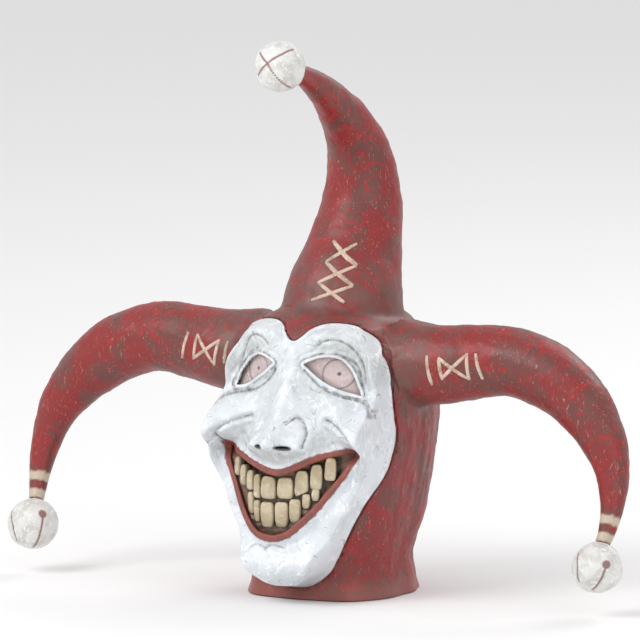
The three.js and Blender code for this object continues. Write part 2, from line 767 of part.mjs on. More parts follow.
const horns = [
  {
    name: "right",
    stations: hornStations(SIDE_HORN_STATIONS, sideHornPlace(-1), SIDE_HORN_RADIUS),
    across: new THREE.Vector3(0, 1, 0),
    ball: new THREE.Vector3(
      -SIDE_HORN_REACH,
      -SIDE_BALL_AHEAD_SHARE * SIDE_HORN_REACH,
      SIDE_HORN_LEVEL - SIDE_BALL_DOWN_SHARE * SIDE_HORN_REACH,
    ),
  },
  {
    name: "left",
    stations: hornStations(SIDE_HORN_STATIONS, sideHornPlace(1), SIDE_HORN_RADIUS),
    across: new THREE.Vector3(0, 1, 0),
    ball: new THREE.Vector3(
      SIDE_HORN_REACH,
      -SIDE_BALL_AHEAD_SHARE * SIDE_HORN_REACH,
      SIDE_HORN_LEVEL - SIDE_BALL_DOWN_SHARE * SIDE_HORN_REACH,
    ),
  },
  {
    name: "top",
    stations: hornStations(TOP_HORN_STATIONS, topHornPlace, TOP_HORN_RADIUS),
    across: new THREE.Vector3(1, 0, 0),
    ball: new THREE.Vector3(
      0,
      -TOP_BALL_AHEAD_SHARE * TOP_HORN_HEIGHT,
      TOP_HORN_LEVEL + TOP_BALL_UP_SHARE * TOP_HORN_HEIGHT,
    ),
  },
];

for (const horn of horns) {
  const hollow = hornHollow(horn.stations, horn.across);
  const shell = hornOuter(horn.stations, horn.across)
    .subtract(hollow)
    .subtract(cowlClear)
    .subtract(faceGap)
    .subtract(ballAt(horn.ball, JOINT_GAP * 2));
  mask.add(named(`horn_${horn.name}`, largest(shell), RED));
  mask.add(named(`ball_${horn.name}`, ballAt(horn.ball, 0), BALL_WHITE));
  cowl = cowl.subtract(hollow);
}

// The neck is the band of the cowl below the jaw, parted from it by a gap at one level.
const neck = cowl.trimByPlane([0, 0, -1], JOINT_GAP / 2 - NECK_HEIGHT);
mask.add(named("neck", neck, RED));
mask.add(named("cowl", cowl.trimByPlane([0, 0, 1], NECK_HEIGHT + JOINT_GAP / 2), RED));
mask.add(named("face", face, WHITE));
const plate = mouthPlate();
const plateGap = plate.add(plate.translate([0, -JOINT_GAP, 0]));
const upperRow = toothRow(UPPER_TEETH, 1).intersect(roomBehindFace()).subtract(plateGap);
const lowerRow = toothRow(LOWER_TEETH, -1).intersect(roomBehindFace()).subtract(plateGap);
mask.add(named("teeth_upper", largest(upperRow), IVORY));
mask.add(named("teeth_lower", largest(lowerRow), IVORY));
mask.add(named("mouth_plate", largest(plate), GUM));
mask.add(named("eye_right", largest(eyeSolid(-1)), EYE_PINK));
mask.add(named("eye_left", largest(eyeSolid(1)), EYE_PINK));

// The origin is under the middle of the whole mask's box, on the surface it stands on.
const box = new THREE.Box3().setFromObject(mask);
const middle = box.getCenter(new THREE.Vector3());
mask.position.set(-middle.x, -middle.y, -box.min.z);

export default mask;
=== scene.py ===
"""The looks of an over-the-head jester mask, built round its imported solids.

A one-piece latex casting, painted by hand: a red cowl with three horns, a white grinning
face with moulded eyes, lips and two rows of stained teeth, and three white balls.
Sizes are in millimetres in the mask's own frame, whose axis is the middle of the cowl.
"""

from __future__ import annotations

import logging
import math
from dataclasses import dataclass, field
from enum import Enum

import bmesh
import bpy
import numpy as np
from mathutils import Matrix, Vector, noise
from mathutils.bvhtree import BVHTree

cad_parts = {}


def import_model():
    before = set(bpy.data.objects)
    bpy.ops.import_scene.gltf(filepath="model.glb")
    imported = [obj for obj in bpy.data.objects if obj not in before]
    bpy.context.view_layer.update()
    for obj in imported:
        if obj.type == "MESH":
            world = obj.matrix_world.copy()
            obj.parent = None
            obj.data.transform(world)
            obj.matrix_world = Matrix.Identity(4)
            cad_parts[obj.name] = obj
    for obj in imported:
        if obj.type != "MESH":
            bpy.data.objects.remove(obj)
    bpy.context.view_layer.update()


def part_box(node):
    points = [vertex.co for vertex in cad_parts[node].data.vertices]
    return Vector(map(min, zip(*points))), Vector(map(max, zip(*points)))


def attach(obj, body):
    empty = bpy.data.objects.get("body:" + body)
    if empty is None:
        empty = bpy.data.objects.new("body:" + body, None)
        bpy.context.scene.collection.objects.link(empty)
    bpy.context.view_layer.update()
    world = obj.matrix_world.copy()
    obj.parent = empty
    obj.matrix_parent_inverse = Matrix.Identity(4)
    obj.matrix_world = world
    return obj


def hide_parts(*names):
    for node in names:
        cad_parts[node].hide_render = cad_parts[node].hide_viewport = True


LOG = logging.getLogger("jester_mask")
MM = 0.001
BODY = "root"
# The camera's angles: round to the mask's left, and up.
VIEW_AZIMUTH = 28
VIEW_ELEVATION = 8
Outline = list[tuple[float, float]]


class Side(Enum):
    """The wearer's right and left, as signs along X."""

    RIGHT = -1
    LEFT = 1


def linear_colour(hex_code: str) -> tuple[float, float, float, float]:
    """Turn an sRGB hex colour into linear values with full alpha."""
    values = [int(hex_code[i : i + 2], 16) / 255 for i in (1, 3, 5)]
    turned = [v / 12.92 if v <= 0.04045 else ((v + 0.055) / 1.055) ** 2.4 for v in values]
    return (turned[0], turned[1], turned[2], 1.0)


def add_node(tree: bpy.types.NodeTree, kind: str, links: dict | None = None, **settings) -> bpy.types.Node:
    """Add one shader node.

    Args:
        tree: The material's node tree.
        kind: The node's type name.
        links: Input name or index to an output socket, or to a value.
        **settings: Attributes of the node.

    Returns:
        The new node.
    """
    node = tree.nodes.new(kind)
    for name, value in settings.items():
        setattr(node, name, value)
    for name, value in (links or {}).items():
        if isinstance(value, bpy.types.NodeSocket):
            tree.links.new(value, node.inputs[name])
        else:
            node.inputs[name].default_value = value
    return node


def view_axes() -> tuple[Vector, Vector, Vector]:
    """Give the picture's right, its up and the way back to the camera."""
    a, e = math.radians(VIEW_AZIMUTH), math.radians(VIEW_ELEVATION)
    back = Vector((math.sin(a) * math.cos(e), -math.cos(a) * math.cos(e), math.sin(e)))
    right = Vector((math.cos(a), math.sin(a), 0))
    return right, back.cross(right), back


def smooth(value: np.ndarray | float, low: float, high: float) -> np.ndarray:
    """Ease from 0 at low to 1 at high."""
    share = np.clip((np.asarray(value, float) - low) / (high - low), 0, 1)
    return share * share * (3 - 2 * share)


def bump(x: np.ndarray, z: np.ndarray, at: tuple[float, float], wide: float, high: float) -> np.ndarray:
    """Give a round hill of height 1 at a place, with its two spreads."""
    return np.exp(-(((x - at[0]) / wide) ** 2) - ((z - at[1]) / high) ** 2)


def rounded(points: Outline, closed: bool, steps: int = 10) -> np.ndarray:
    """Pass a smooth curve through points.

    Args:
        points: The points that it passes through.
        closed: Whether it returns to its first point.
        steps: Pieces between two points.

    Returns:
        The curve's points, one to a row.
    """
    given = np.array(points, float)
    count = len(given)
    spans = count if closed else count - 1
    made = []
    for i in range(spans):
        picks = [(i + k) % count if closed else min(max(i + k, 0), count - 1) for k in (-1, 0, 1, 2)]
        a, b, c, d = given[picks]
        for t in np.arange(steps) / steps:
            made.append(0.5 * (2 * b + (c - a) * t + (2 * a - 5 * b + 4 * c - d) * t**2 + (3 * b - a - 3 * c + d) * t**3))
    if not closed:
        made.append(given[-1])
    return np.array(made)


def to_line(x: np.ndarray, z: np.ndarray, line: np.ndarray, closed: bool) -> tuple[np.ndarray, np.ndarray]:
    """Measure how far points are from a line.

    Args:
        x: Places across.
        z: Places up.
        line: The line's points.
        closed: Whether the line returns to its start.

    Returns:
        The distances, and the nearest points on the line.
    """
    ends = np.roll(line, -1, axis=0) if closed else line[1:]
    starts = line if closed else line[:-1]
    places = np.stack([x, z], axis=-1)
    best = np.full(len(x), 1e9)
    nearest = np.zeros((len(x), 2))
    for a, b in zip(starts, ends):
        step = b - a
        share = np.clip(((places - a) @ step) / max(step @ step, 1e-9), 0, 1)
        foot = a + share[:, None] * step
        away = np.linalg.norm(places - foot, axis=1)
        closer = away < best
        best[closer] = away[closer]
        nearest[closer] = foot[closer]
    return best, nearest


def inside(x: np.ndarray, z: np.ndarray, line: np.ndarray) -> np.ndarray:
    """Say which points lie inside a closed line."""
    found = np.zeros(len(x), bool)
    for a, b in zip(line, np.roll(line, -1, axis=0)):
        crosses = (a[1] > z) != (b[1] > z)
        rise = b[1] - a[1] if abs(b[1] - a[1]) > 1e-9 else 1e-9
        found ^= crosses & (x < (b[0] - a[0]) * (z - a[1]) / rise + a[0])
    return found


def coordinates(mesh: bpy.types.Mesh) -> np.ndarray:
    """Read a mesh's vertices, in millimetres in the mask's own frame."""
    flat = np.zeros(len(mesh.vertices) * 3)
    mesh.vertices.foreach_get("co", flat)
    return flat.reshape(-1, 3) / MM


def put_coordinates(mesh: bpy.types.Mesh, places: np.ndarray) -> None:
    """Write a mesh's vertices, given in millimetres."""
    mesh.vertices.foreach_set("co", (places * MM).ravel())
    mesh.update()


def put_mask(mesh: bpy.types.Mesh, name: str, values: np.ndarray) -> None:
    """Store one number per vertex for the paint to read."""
    attribute = mesh.attributes.new(name, "FLOAT", "POINT")
    attribute.data.foreach_set("value", np.asarray(values, np.float32))


def piece_from(bm: bmesh.types.BMesh, name: str) -> bpy.types.Object:
    """Make a smooth-shaded object from a bmesh and free the bmesh."""
    mesh = bpy.data.meshes.new(name)
    bm.to_mesh(mesh)
    bm.free()
    mesh.polygons.foreach_set("use_smooth", [True] * len(mesh.polygons))
    piece = bpy.data.objects.new(name, mesh)
    bpy.context.scene.collection.objects.link(piece)
    return piece


def trim(mesh: bpy.types.Mesh, gone: np.ndarray) -> None:
    """Remove the vertices that are marked, with their faces."""
    bm = bmesh.new()
    bm.from_mesh(mesh)
    bm.verts.ensure_lookup_table()
    bmesh.ops.delete(bm, geom=[bm.verts[i] for i in np.nonzero(gone)[0]], context="VERTS")
    bm.to_mesh(mesh)
    bm.free()


def relief(places: np.ndarray, size: float, octaves: int = 3) -> np.ndarray:
    """Sample soft noise at places, for relief of a given size in millimetres."""
    return np.array([noise.fractal(Vector(p) / size, 0.8, 2.1, octaves) for p in places])


@dataclass(frozen=True)
class Crease:
    """A fold or a painted line on one half of the face."""

    points: Outline
    wide: float = 1.4
    deep: float = 1.2
    ink: float = 0.8
    right_ink: float = 1.0

    def line(self) -> np.ndarray:
        """Give the line's points."""
        return rounded(self.points, closed=False)

    def away(self, x: np.ndarray, z: np.ndarray) -> np.ndarray:
        """Measure how far places are from the line, on both halves if all of it has x above 0."""
        across = np.abs(x) if min(p[0] for p in self.points) > 0 else x
        return to_line(across, z, self.line(), closed=False)[0]


@dataclass
class HeadForm:
    """The cowl's sections, the same as in the solids."""

    height: float = 292
    half_width: float = 97
    front: float = 118
    back: float = 118
    wall: float = 3
    squareness: float = 3
    shift: float = 0
    rows: list[tuple[float, float, float, float]] = field(
        default_factory=lambda: [
            (0.0, 0.83, 0.73, 0.76),
            (0.04, 0.79, 0.7, 0.71),
            (0.12, 0.76, 0.71, 0.67),
            (0.25, 0.88, 0.84, 0.76),
            (0.38, 0.95, 0.92, 0.87),
            (0.5, 0.99, 0.97, 0.96),
            (0.63, 1.0, 1.0, 1.0),
            (0.75, 0.98, 0.97, 0.98),
            (0.85, 0.9, 0.89, 0.91),
            (0.93, 0.74, 0.72, 0.76),
            (0.98, 0.48, 0.46, 0.5),
            (1.0, 0.02, 0.02, 0.02),
        ]
    )

    def section(self, z: np.ndarray) -> tuple[np.ndarray, np.ndarray, np.ndarray]:
        """Give the half width, front reach and back reach at a height."""
        share = np.asarray(z, float) / self.height
        table = np.array(self.rows)
        sizes = (self.half_width, self.front, self.back)
        wide, front, back = (np.interp(share, table[:, 0], table[:, i + 1]) * s for i, s in enumerate(sizes))
        return wide, front, back

    def front_at(self, x: np.ndarray, z: np.ndarray) -> np.ndarray:
        """Give how far in front of the axis the cowl is at x and z."""
        wide, front, _ = self.section(z)
        across = np.minimum(np.abs(x) / wide, 0.999)
        return front * (1 - across**self.squareness) ** (1 / self.squareness)


# The mouth's line, a little uneven between its two halves, from the middle of the upper lip.
MOUTH_LINE = [
    (-1.5, 132.7), (13.8, 137), (37, 147.5), (53, 152), (70, 154.5), (68, 140), (56.4, 122), (41, 100.5),
    (25, 82.6), (13, 72), (-3, 67), (-25, 70.5), (-41, 84.5), (-53.5, 109), (-68, 139), (-73.5, 155),
    (-55, 147), (-25.5, 137),
]
# Each eye's line, from its inner corner over the top.
EYE_LINES = {
    Side.LEFT: [
        (14.3, 239.5), (22.5, 244.6), (31.5, 247.6), (41, 248), (49.4, 245), (55.5, 238), (61.2, 228.5), (66.5, 218),
        (71.5, 208.2), (61.6, 209.6), (50.4, 212.7), (39.3, 217.6), (29.4, 224.2), (21.1, 232.3),
    ],
    Side.RIGHT: [
        (-18, 239), (-25, 243), (-34, 245.5), (-43, 245.5), (-53, 241), (-61, 234.5), (-67, 226.5), (-71, 218),
        (-72, 210), (-61, 211), (-52, 215), (-42, 221.5), (-32, 228), (-24, 234),
    ],
}


@dataclass
class FaceForm:
    """The shape of the white face, as its reach ahead of the axis over x and z."""

    head: HeadForm
    width: float = 188
    height: float = 266
    foot: float = 11
    depth: float = 102
    proud: float = 2
    mouth_width: float = 148
    mouth_height: float = 91
    mouth_foot: float = 62
    eye_spacing: float = 92
    eye_level: float = 228
    eye_width: float = 58
    eye_height: float = 39
    nostril_spacing: float = 27
    nose_level: float = 164
    rim_blend: float = 7
    outline_shares: Outline = field(
        default_factory=lambda: [
            (0.0, 0.94), (0.08, 0.953), (0.19, 0.99), (0.34, 1.004), (0.53, 0.998), (0.68, 0.976), (0.8, 0.937),
            (0.885, 0.884), (0.926, 0.845), (0.967, 0.787), (0.986, 0.711), (1.0, 0.636), (0.995, 0.56),
            (0.966, 0.48), (0.905, 0.409), (0.79, 0.33), (0.68, 0.253), (0.57, 0.18), (0.46, 0.11), (0.35, 0.055),
            (0.18, 0.014), (0.0, 0.004),
        ]
    )
    # Fuller modelling than in the solids: temple, lower lip, cheek, jaw, corner, nose wing, chin.
    touches: list[tuple[tuple[float, float], float, float, float]] = field(
        default_factory=lambda: [
            ((82.0, 236.0), 8.0, 28.0, 15.0),
            ((0.0, 78.0), 36.0, 20.0, 9.0),
            ((56.0, 181.0), 22.0, 12.0, 3.0),
            ((88.0, 178.0), 22.0, 26.0, -4.0),
            ((86.0, 146.0), 14.0, 24.0, 8.0),
            ((66.0, 92.0), 16.0, 18.0, 4.0),
            ((72.0, 152.0), 11.0, 8.0, -9.0),
            ((42.0, 168.0), 11.0, 14.0, -6.5),
            ((42.0, 40.0), 17.0, 22.0, 12.0),
        ]
    )
    # The main hills of one half of the face: place, spread across, spread up, and height.
    hills: list[tuple[tuple[float, float], float, float, float]] = field(
        default_factory=lambda: [
            ((0.0, 164.0), 23.7, 18.6, 40.0),
            ((29.6, 160.0), 11.8, 12.8, 20.0),
            ((0.0, 191.5), 14.1, 30.1, 20.0),
            ((0.0, 36.5), 58.3, 28.1, 32.0),
            ((79.0, 173.0), 22.6, 19.1, 26.0),
            ((87.4, 154.8), 9.4, 31.9, 14.0),
            ((74.0, 153.0), 13.3, 10.0, -12.0),
            ((0.0, 107.5), 48.8, 43.7, 26.0),
            ((47.8, 267.0), 33.6, 10.1, 6.0),
            ((46.0, 231.9), 30.2, 19.9, -11.0),
        ]
    )
    creases: list[Crease] = field(
        default_factory=lambda: [
            # The fold under the cheek, from beside the nose round the corner of the mouth.
            Crease([(42, 185), (52, 182), (62, 178), (70, 173), (76, 166), (75, 158)], 2.2, 3.2, 0.75),
            # The upper fold of the eye socket.
            Crease([(27, 256), (33, 262), (43, 264.6), (52, 262), (60, 254), (67, 241), (71, 225), (73, 215)], 1.5, 1.6, 0.7),
            # The upper lid's edge, doubled past the outer corner.
            Crease([(43, 251), (55, 245.5), (63, 236), (68, 223), (74, 208)], 1.1, 0.9, 0.85),
            # The lower lid's two lines, which run out on to the cheek.
            Crease([(17, 234), (21, 227), (30, 218), (42, 210.5), (57, 206), (72, 203), (83, 198), (88, 190)], 1.3, 1.4, 0.95),
            Crease([(52, 208.5), (66, 207), (76, 204.5), (84, 199), (88, 195)], 1.0, 0.8, 0.6),
            # The back of the nose wing.
            Crease([(10, 182), (12.6, 186), (16, 187), (22, 181), (28.5, 171), (30, 160)], 1.6, 2.6, 0.8, 0.15),
            # The wrinkles over the chin.
            Crease([(-33, 54), (-28, 58), (-22, 58.5), (-14, 56)], 1.2, 0.9, 0.6),
            Crease([(-14, 55), (-8, 59), (-2, 60), (8, 57)], 1.2, 0.9, 0.6),
            # The bag under the eye, and the lines beside the root of the nose.
            Crease([(3, 226), (7.6, 217), (15, 205)], 1.8, 0.8, 0.2),
            Crease([(5, 252), (9, 240), (8, 228), (11, 216)], 1.6, 0.8, 0.15),
            # The hollow between the cheek and the jaw.
            Crease([(88, 138), (84, 118), (74, 100), (66, 84)], 4.0, 1.6, 0.0),
        ]
    )

    def mirrored(self, shares: Outline, half: float, tall: float, foot: float) -> np.ndarray:
        """Give both halves of an outline from its shares, as points around it."""
        right = [(side * half, foot + up * tall) for side, up in shares]
        left = [(-x, z) for x, z in right[1:-1][::-1]]
        return np.array(right + left)

    def outline(self) -> np.ndarray:
        """Give the face's outline."""
        return rounded(self.mirrored(self.outline_shares, self.width / 2, self.height, self.foot), closed=True)

    def mouth(self) -> np.ndarray:
        """Give the mouth's outline."""
        return rounded(MOUTH_LINE, closed=True)

    def eye(self, side: Side) -> np.ndarray:
        """Give one eye's outline."""
        return rounded(EYE_LINES[side], closed=True)

    def nostril(self, side: Side) -> np.ndarray:
        """Give one nostril's outline, a slit that droops outwards."""
        turns = np.linspace(0, 2 * math.pi, 24, endpoint=False)
        x = side.value * self.nostril_spacing / 2 + 6 * np.cos(turns)
        tilt = 0.12 * side.value * (x - side.value * self.nostril_spacing / 2)
        z = self.nose_level - 4 + 1.9 * np.sin(turns) - tilt
        return np.stack([x, z], axis=-1)

    def base_reach(self, x: np.ndarray, z: np.ndarray) -> np.ndarray:
        """Give the main forms' reach, the same as in the solids."""
        side = np.abs(x)
        ease = np.maximum(0, z - self.eye_level) / self.eye_height
        reach = self.depth - 12 * (side / (self.width / 2)) ** 3 - 9 * ease**2
        for at, wide, high, rise in self.hills:
            reach = reach + rise * bump(side, z, at, wide, high)
        return reach

    def reach(self, x: np.ndarray, z: np.ndarray) -> np.ndarray:
        """Give the modelled face's reach, with its lips, lids and folds."""
        side = np.abs(x)
        reach = self.base_reach(x, z)
        reach -= 22.0 * smooth(side, 18, 84) * smooth(z, 186, 214)
        for at, wide, high, rise in self.touches:
            reach += rise * bump(side, z, at, wide, high)
        reach -= 3.0 * bump(side, z, (0, 52), 30, 6)
        reach -= 3.0 * bump(side, z, (0, 262), 5, 10)
        lip, _ = to_line(x, z, self.mouth(), closed=True)
        reach += 2.6 * np.exp(-(((lip - 2.5) / 3.4) ** 2)) - 1.5 * np.exp(-(((lip - 9) / 3.5) ** 2))
        for which in Side:
            lid, _ = to_line(x, z, self.eye(which), closed=True)
            reach += 3.0 * np.exp(-(((lid - 2.2) / 2.6) ** 2)) - 1.0 * np.exp(-(((lid - 6.5) / 2) ** 2))
        for crease in self.creases:
            away = crease.away(x, z)
            reach -= crease.deep * np.exp(-((away / crease.wide) ** 2))
            reach += 0.35 * crease.deep * np.exp(-(((away - 2.4 * crease.wide) / crease.wide) ** 2))
        return reach

    def surface(self, x: np.ndarray, z: np.ndarray) -> np.ndarray:
        """Give the face's reach, run down on to the cowl at its outline.

        Args:
            x: Places across.
            z: Places up.

        Returns:
            The reach ahead of the axis.
        """
        away, nearest = to_line(x, z, self.outline(), closed=True)
        rim = self.head.front_at(nearest[:, 0], nearest[:, 1]) + self.proud
        return rim + (self.reach(x, z) - rim) * smooth(away, 0, self.rim_blend)

    def ink(self, x: np.ndarray, z: np.ndarray) -> np.ndarray:
        """Give how dark the thin painted lines are."""
        dark = np.zeros(len(x))
        for crease in self.creases:
            share = np.where(x < 0, crease.right_ink, 1.0)
            dark = np.maximum(dark, crease.ink * share * np.exp(-((crease.away(x, z) / 0.9) ** 2)))
        return dark


@dataclass(frozen=True)
class PaintedLatex:
    """Cast latex under hand-brushed paint: satin, mottled, with fine dry-brushed strokes."""

    name: str
    base: str
    wash: str
    bright: str
    stroke: str
    stroke_share: float
    roughness: float
    mottle_mm: float = 26
    stroke_mm: float = 3.2
    stroke_stretch: tuple[float, float, float] = (1.0, 1.0, 0.22)
    relief: float = 0.35
    hair: str = ""
    hair_mm: float = 13

    def build(self, paints: list[tuple[str, str]] | None = None) -> bpy.types.Material:
        """Build the material.

        Args:
            paints: Vertex masks and the colour that each one lays on, in order.

        Returns:
            The material.
        """
        material = bpy.data.materials.new(self.name)
        material.use_nodes = True
        tree = material.node_tree
        tree.nodes.clear()
        place = add_node(tree, "ShaderNodeTexCoord").outputs["Object"]
        mottle = add_node(
            tree, "ShaderNodeTexNoise", {"Vector": place, "Scale": 1 / (self.mottle_mm * MM), "Detail": 5.0}
        ).outputs["Fac"]
        dabs = add_node(
            tree, "ShaderNodeTexNoise", {"Vector": place, "Scale": 2.3 / (self.mottle_mm * MM), "Detail": 4.0, "Distortion": 1.2}
        ).outputs["Fac"]
        stretched = add_node(tree, "ShaderNodeMapping", {"Vector": place, "Scale": self.stroke_stretch}).outputs["Vector"]
        strokes = add_node(
            tree,
            "ShaderNodeTexNoise",
            {"Vector": stretched, "Scale": 1 / (self.stroke_mm * MM), "Detail": 3.0, "Distortion": 2.2},
        ).outputs["Fac"]
        colour = self.lay(tree, self.ramp(tree, mottle, 0.42, 0.62), linear_colour(self.base), linear_colour(self.wash))
        colour = self.lay(tree, self.ramp(tree, dabs, 0.56, 0.66), colour, linear_colour(self.bright))
        light = self.ramp(tree, strokes, 0.62, 0.7)
        faint = add_node(tree, "ShaderNodeMath", {0: light, 1: self.stroke_share}, operation="MULTIPLY").outputs[0]
        colour = self.lay(tree, faint, colour, linear_colour(self.stroke))
        for number, tint in enumerate((self.stroke, self.hair) if self.hair else ()):
            colour = self.lay(tree, self.hairs(tree, stretched, number), colour, linear_colour(tint))
        for mask, tint in paints or []:
            share = add_node(tree, "ShaderNodeAttribute", attribute_name=mask).outputs["Fac"]
            colour = self.lay(tree, share, colour, linear_colour(tint))
        heights = add_node(tree, "ShaderNodeMath", {0: strokes, 1: dabs}, operation="ADD").outputs[0]
        bumped = add_node(
            tree, "ShaderNodeBump", {"Height": heights, "Strength": self.relief, "Distance": 0.9 * MM}
        ).outputs["Normal"]
        gloss = add_node(
            tree,
            "ShaderNodeMapRange",
            {"Value": dabs, "To Min": self.roughness - 0.1, "To Max": self.roughness + 0.14},
        ).outputs["Result"]
        shader = add_node(
            tree,
            "ShaderNodeBsdfPrincipled",
            {"Base Color": colour, "Roughness": gloss, "Normal": bumped, "IOR": 1.5, "Coat Weight": 0.08, "Coat Roughness": 0.25},
        )
        add_node(tree, "ShaderNodeOutputMaterial", {"Surface": shader.outputs["BSDF"]})
        return material

    def hairs(self, tree: bpy.types.NodeTree, place: bpy.types.NodeSocket, number: int) -> bpy.types.NodeSocket:
        """Draw hair-fine broken strokes, which follow the level lines of a soft noise.

        Args:
            tree: The material's node tree.
            place: The stretched place.
            number: Which set of strokes, for its place in the noise.

        Returns:
            The share of the strokes' colour.
        """
        moved = add_node(tree, "ShaderNodeMapping", {"Vector": place, "Location": (0.37 * (number + 1), 0.11, 0.23)})
        level, gaps = (
            add_node(
                tree, "ShaderNodeTexNoise", {"Vector": moved.outputs["Vector"], "Scale": share / (self.hair_mm * MM), "Detail": 1.0}
            ).outputs["Fac"]
            for share in (1.0, 1.9)
        )
        centred = add_node(tree, "ShaderNodeMath", {0: level, 1: 0.5}, operation="SUBTRACT").outputs[0]
        away = add_node(tree, "ShaderNodeMath", {0: centred}, operation="ABSOLUTE").outputs[0]
        line = self.ramp(tree, away, 0.012, 0.002)
        return add_node(tree, "ShaderNodeMath", {0: line, 1: self.ramp(tree, gaps, 0.54, 0.6)}, operation="MULTIPLY").outputs[0]

    @staticmethod
    def ramp(tree: bpy.types.NodeTree, value: bpy.types.NodeSocket, low: float, high: float) -> bpy.types.NodeSocket:
        """Ease a value from 0 at low to 1 at high."""
        return add_node(
            tree,
            "ShaderNodeMapRange",
            {"Value": value, "From Min": low, "From Max": high},
            interpolation_type="SMOOTHSTEP",
        ).outputs["Result"]

    @staticmethod
    def lay(
        tree: bpy.types.NodeTree,
        share: bpy.types.NodeSocket,
        under: bpy.types.NodeSocket | tuple,
        over: bpy.types.NodeSocket | tuple,
    ) -> bpy.types.NodeSocket:
        """Lay one colour over another by a share."""
        mix = add_node(tree, "ShaderNodeMix", data_type="RGBA")
        tree.links.new(share, mix.inputs["Factor"])
        for slot, value in ((6, under), (7, over)):
            if isinstance(value, bpy.types.NodeSocket):
                tree.links.new(value, mix.inputs[slot])
            else:
                mix.inputs[slot].default_value = value
        return mix.outputs[2]


# Dark red paint over brown on latex: satin, brushed up and down, with pale scratches of dry brush.
RED_LATEX = PaintedLatex("red_brushed_latex", "#86201F", "#6B3732", "#9A1D1E", "#C08A7C", 0.6, 0.44, 28, 3.0, (1.0, 1.0, 0.2))
# Off-white paint with a cold grey wash: smoother, shines on the cheeks and brows, with hair-fine strokes.
WHITE_LATEX = PaintedLatex(
    "white_brushed_latex", "#DADFE5", "#CCD2D6", "#E6E9ED", "#FAFAFA", 0.5, 0.34, 30, 3.0, (0.8, 0.8, 0.45), 0.3, "#A2A6A4"
)
# The balls are the same white with a warmer wash, over foam.
BALL_LATEX = PaintedLatex("ball_white_latex", "#D9D9D6", "#C6C3BE", "#E8E8E8", "#F8F8F6", 0.6, 0.4, 14, 2.4)
# Cream paint of the lacing marks and the bands at the horns' tips.
CREAM_LATEX = PaintedLatex("cream_brushed_latex", "#CBB29F", "#A98D7E", "#D9C8B7", "#E6D9CB", 0.4, 0.5, 9, 1.8)
# Teeth: ivory with a rosy and a yellow-green stain, glossy as varnished.
TOOTH_LATEX = PaintedLatex("stained_ivory_latex", "#C2B69B", "#B29F86", "#D2C6AE", "#E6DCC8", 0.4, 0.3, 15, 2.0)
# Lips: dull red-brown with darker, browner dabs, thicker than the other paint.
LIP_LATEX = PaintedLatex("lip_brown_latex", "#8E463C", "#7C4740", "#9E5145", "#B98474", 0.35, 0.42, 10, 2.2)
# Gums and the inside of the mouth: brown-red with an olive wash; the plate also gets near-black painted shade round
# each tooth.
GUM_LATEX = PaintedLatex("gum_brown_latex", "#80584C", "#6A5240", "#92604F", "#A67C6A", 0.3, 0.4, 12, 2.2)
# Eyes: pale greyish pink, the glossiest paint on the mask.
EYE_LATEX = PaintedLatex("eye_pink_latex", "#C9B5B6", "#B9A6A4", "#D6C8C8", "#DDD2D2", 0.3, 0.26, 12, 2.0, (1, 1, 1), 0.15)


@dataclass
class Horn:
    """One horn: stations from root to tip as (x, y, z, radius), and its ball's centre."""

    name: str
    stations: list[tuple[float, float, float, float]]
    ball_centre: tuple[float, float, float]
    across: tuple[float, float, float]

    def rings(self, steps: int) -> list[tuple[Vector, Vector, float]]:
        """Give centres, directions and radii along the horn, smoothed from its stations."""
        table = np.array(self.stations)
        columns = [rounded([(i, v) for i, v in enumerate(table[:, c])], closed=False, steps=steps)[:, 1] for c in range(4)]
        places = np.stack(columns[:3], axis=-1)
        along = np.gradient(places, axis=0)
        return [(Vector(p), Vector(a).normalized(), r) for p, a, r in zip(places, along, columns[3])]

    def solid(self, bm: bmesh.types.BMesh, sides: int = 28, steps: int = 6) -> None:
        """Add the horn's outer form to a bmesh, closed at both ends."""
        previous: list[bmesh.types.BMVert] = []
        for centre, along, radius in self.rings(steps):
            up = along.cross(Vector(self.across)).normalized()
            flat = up.cross(along).normalized()
            turn = Matrix((flat, up, along)).transposed().to_4x4()
            made = bmesh.ops.create_circle(
                bm, cap_ends=False, segments=sides, radius=radius * MM, matrix=Matrix.Translation(centre * MM) @ turn
            )["verts"]
            if previous:
                edges = {e for v in (*previous, *made) for e in v.link_edges}
                whole = [e for e in edges if len({*e.verts} & {*previous}) == 2 or len({*e.verts} & {*made}) == 2]
                bmesh.ops.bridge_loops(bm, edges=whole)
            previous = made
        bmesh.ops.holes_fill(bm, edges=[e for e in bm.edges if e.is_boundary], sides=0)


def side_horn(side: Side, name: str) -> Horn:
    """Give a side horn from the shares of its reach that the solids use."""
    reach, root, radius = 319.0, 233.0, 44.0
    rows = [
        (0.24, 0.0, 0.02, 1.04),
        (0.37, 0.004, 0.03, 0.92),
        (0.5, 0.02, 0.01, 0.84),
        (0.64, 0.024, 0.0, 0.79),
        (0.77, -0.02, 0.0, 0.75),
        (0.88, -0.1, 0.01, 0.66),
        (0.96, -0.2, 0.03, 0.52),
        (1.0, -0.3, 0.05, 0.38),
        (1.012, -0.4, 0.08, 0.27),
        (1.008, -0.475, 0.11, 0.2),
        (1.003, -0.505, 0.13, 0.18),
    ]
    stations = [(side.value * out * reach, -ahead * reach, root + up * reach, size * radius) for out, up, ahead, size in rows]
    centre = (side.value * reach, -0.155 * reach, root - 0.575 * reach)
    return Horn(name, stations, centre, (0, 1, 0))


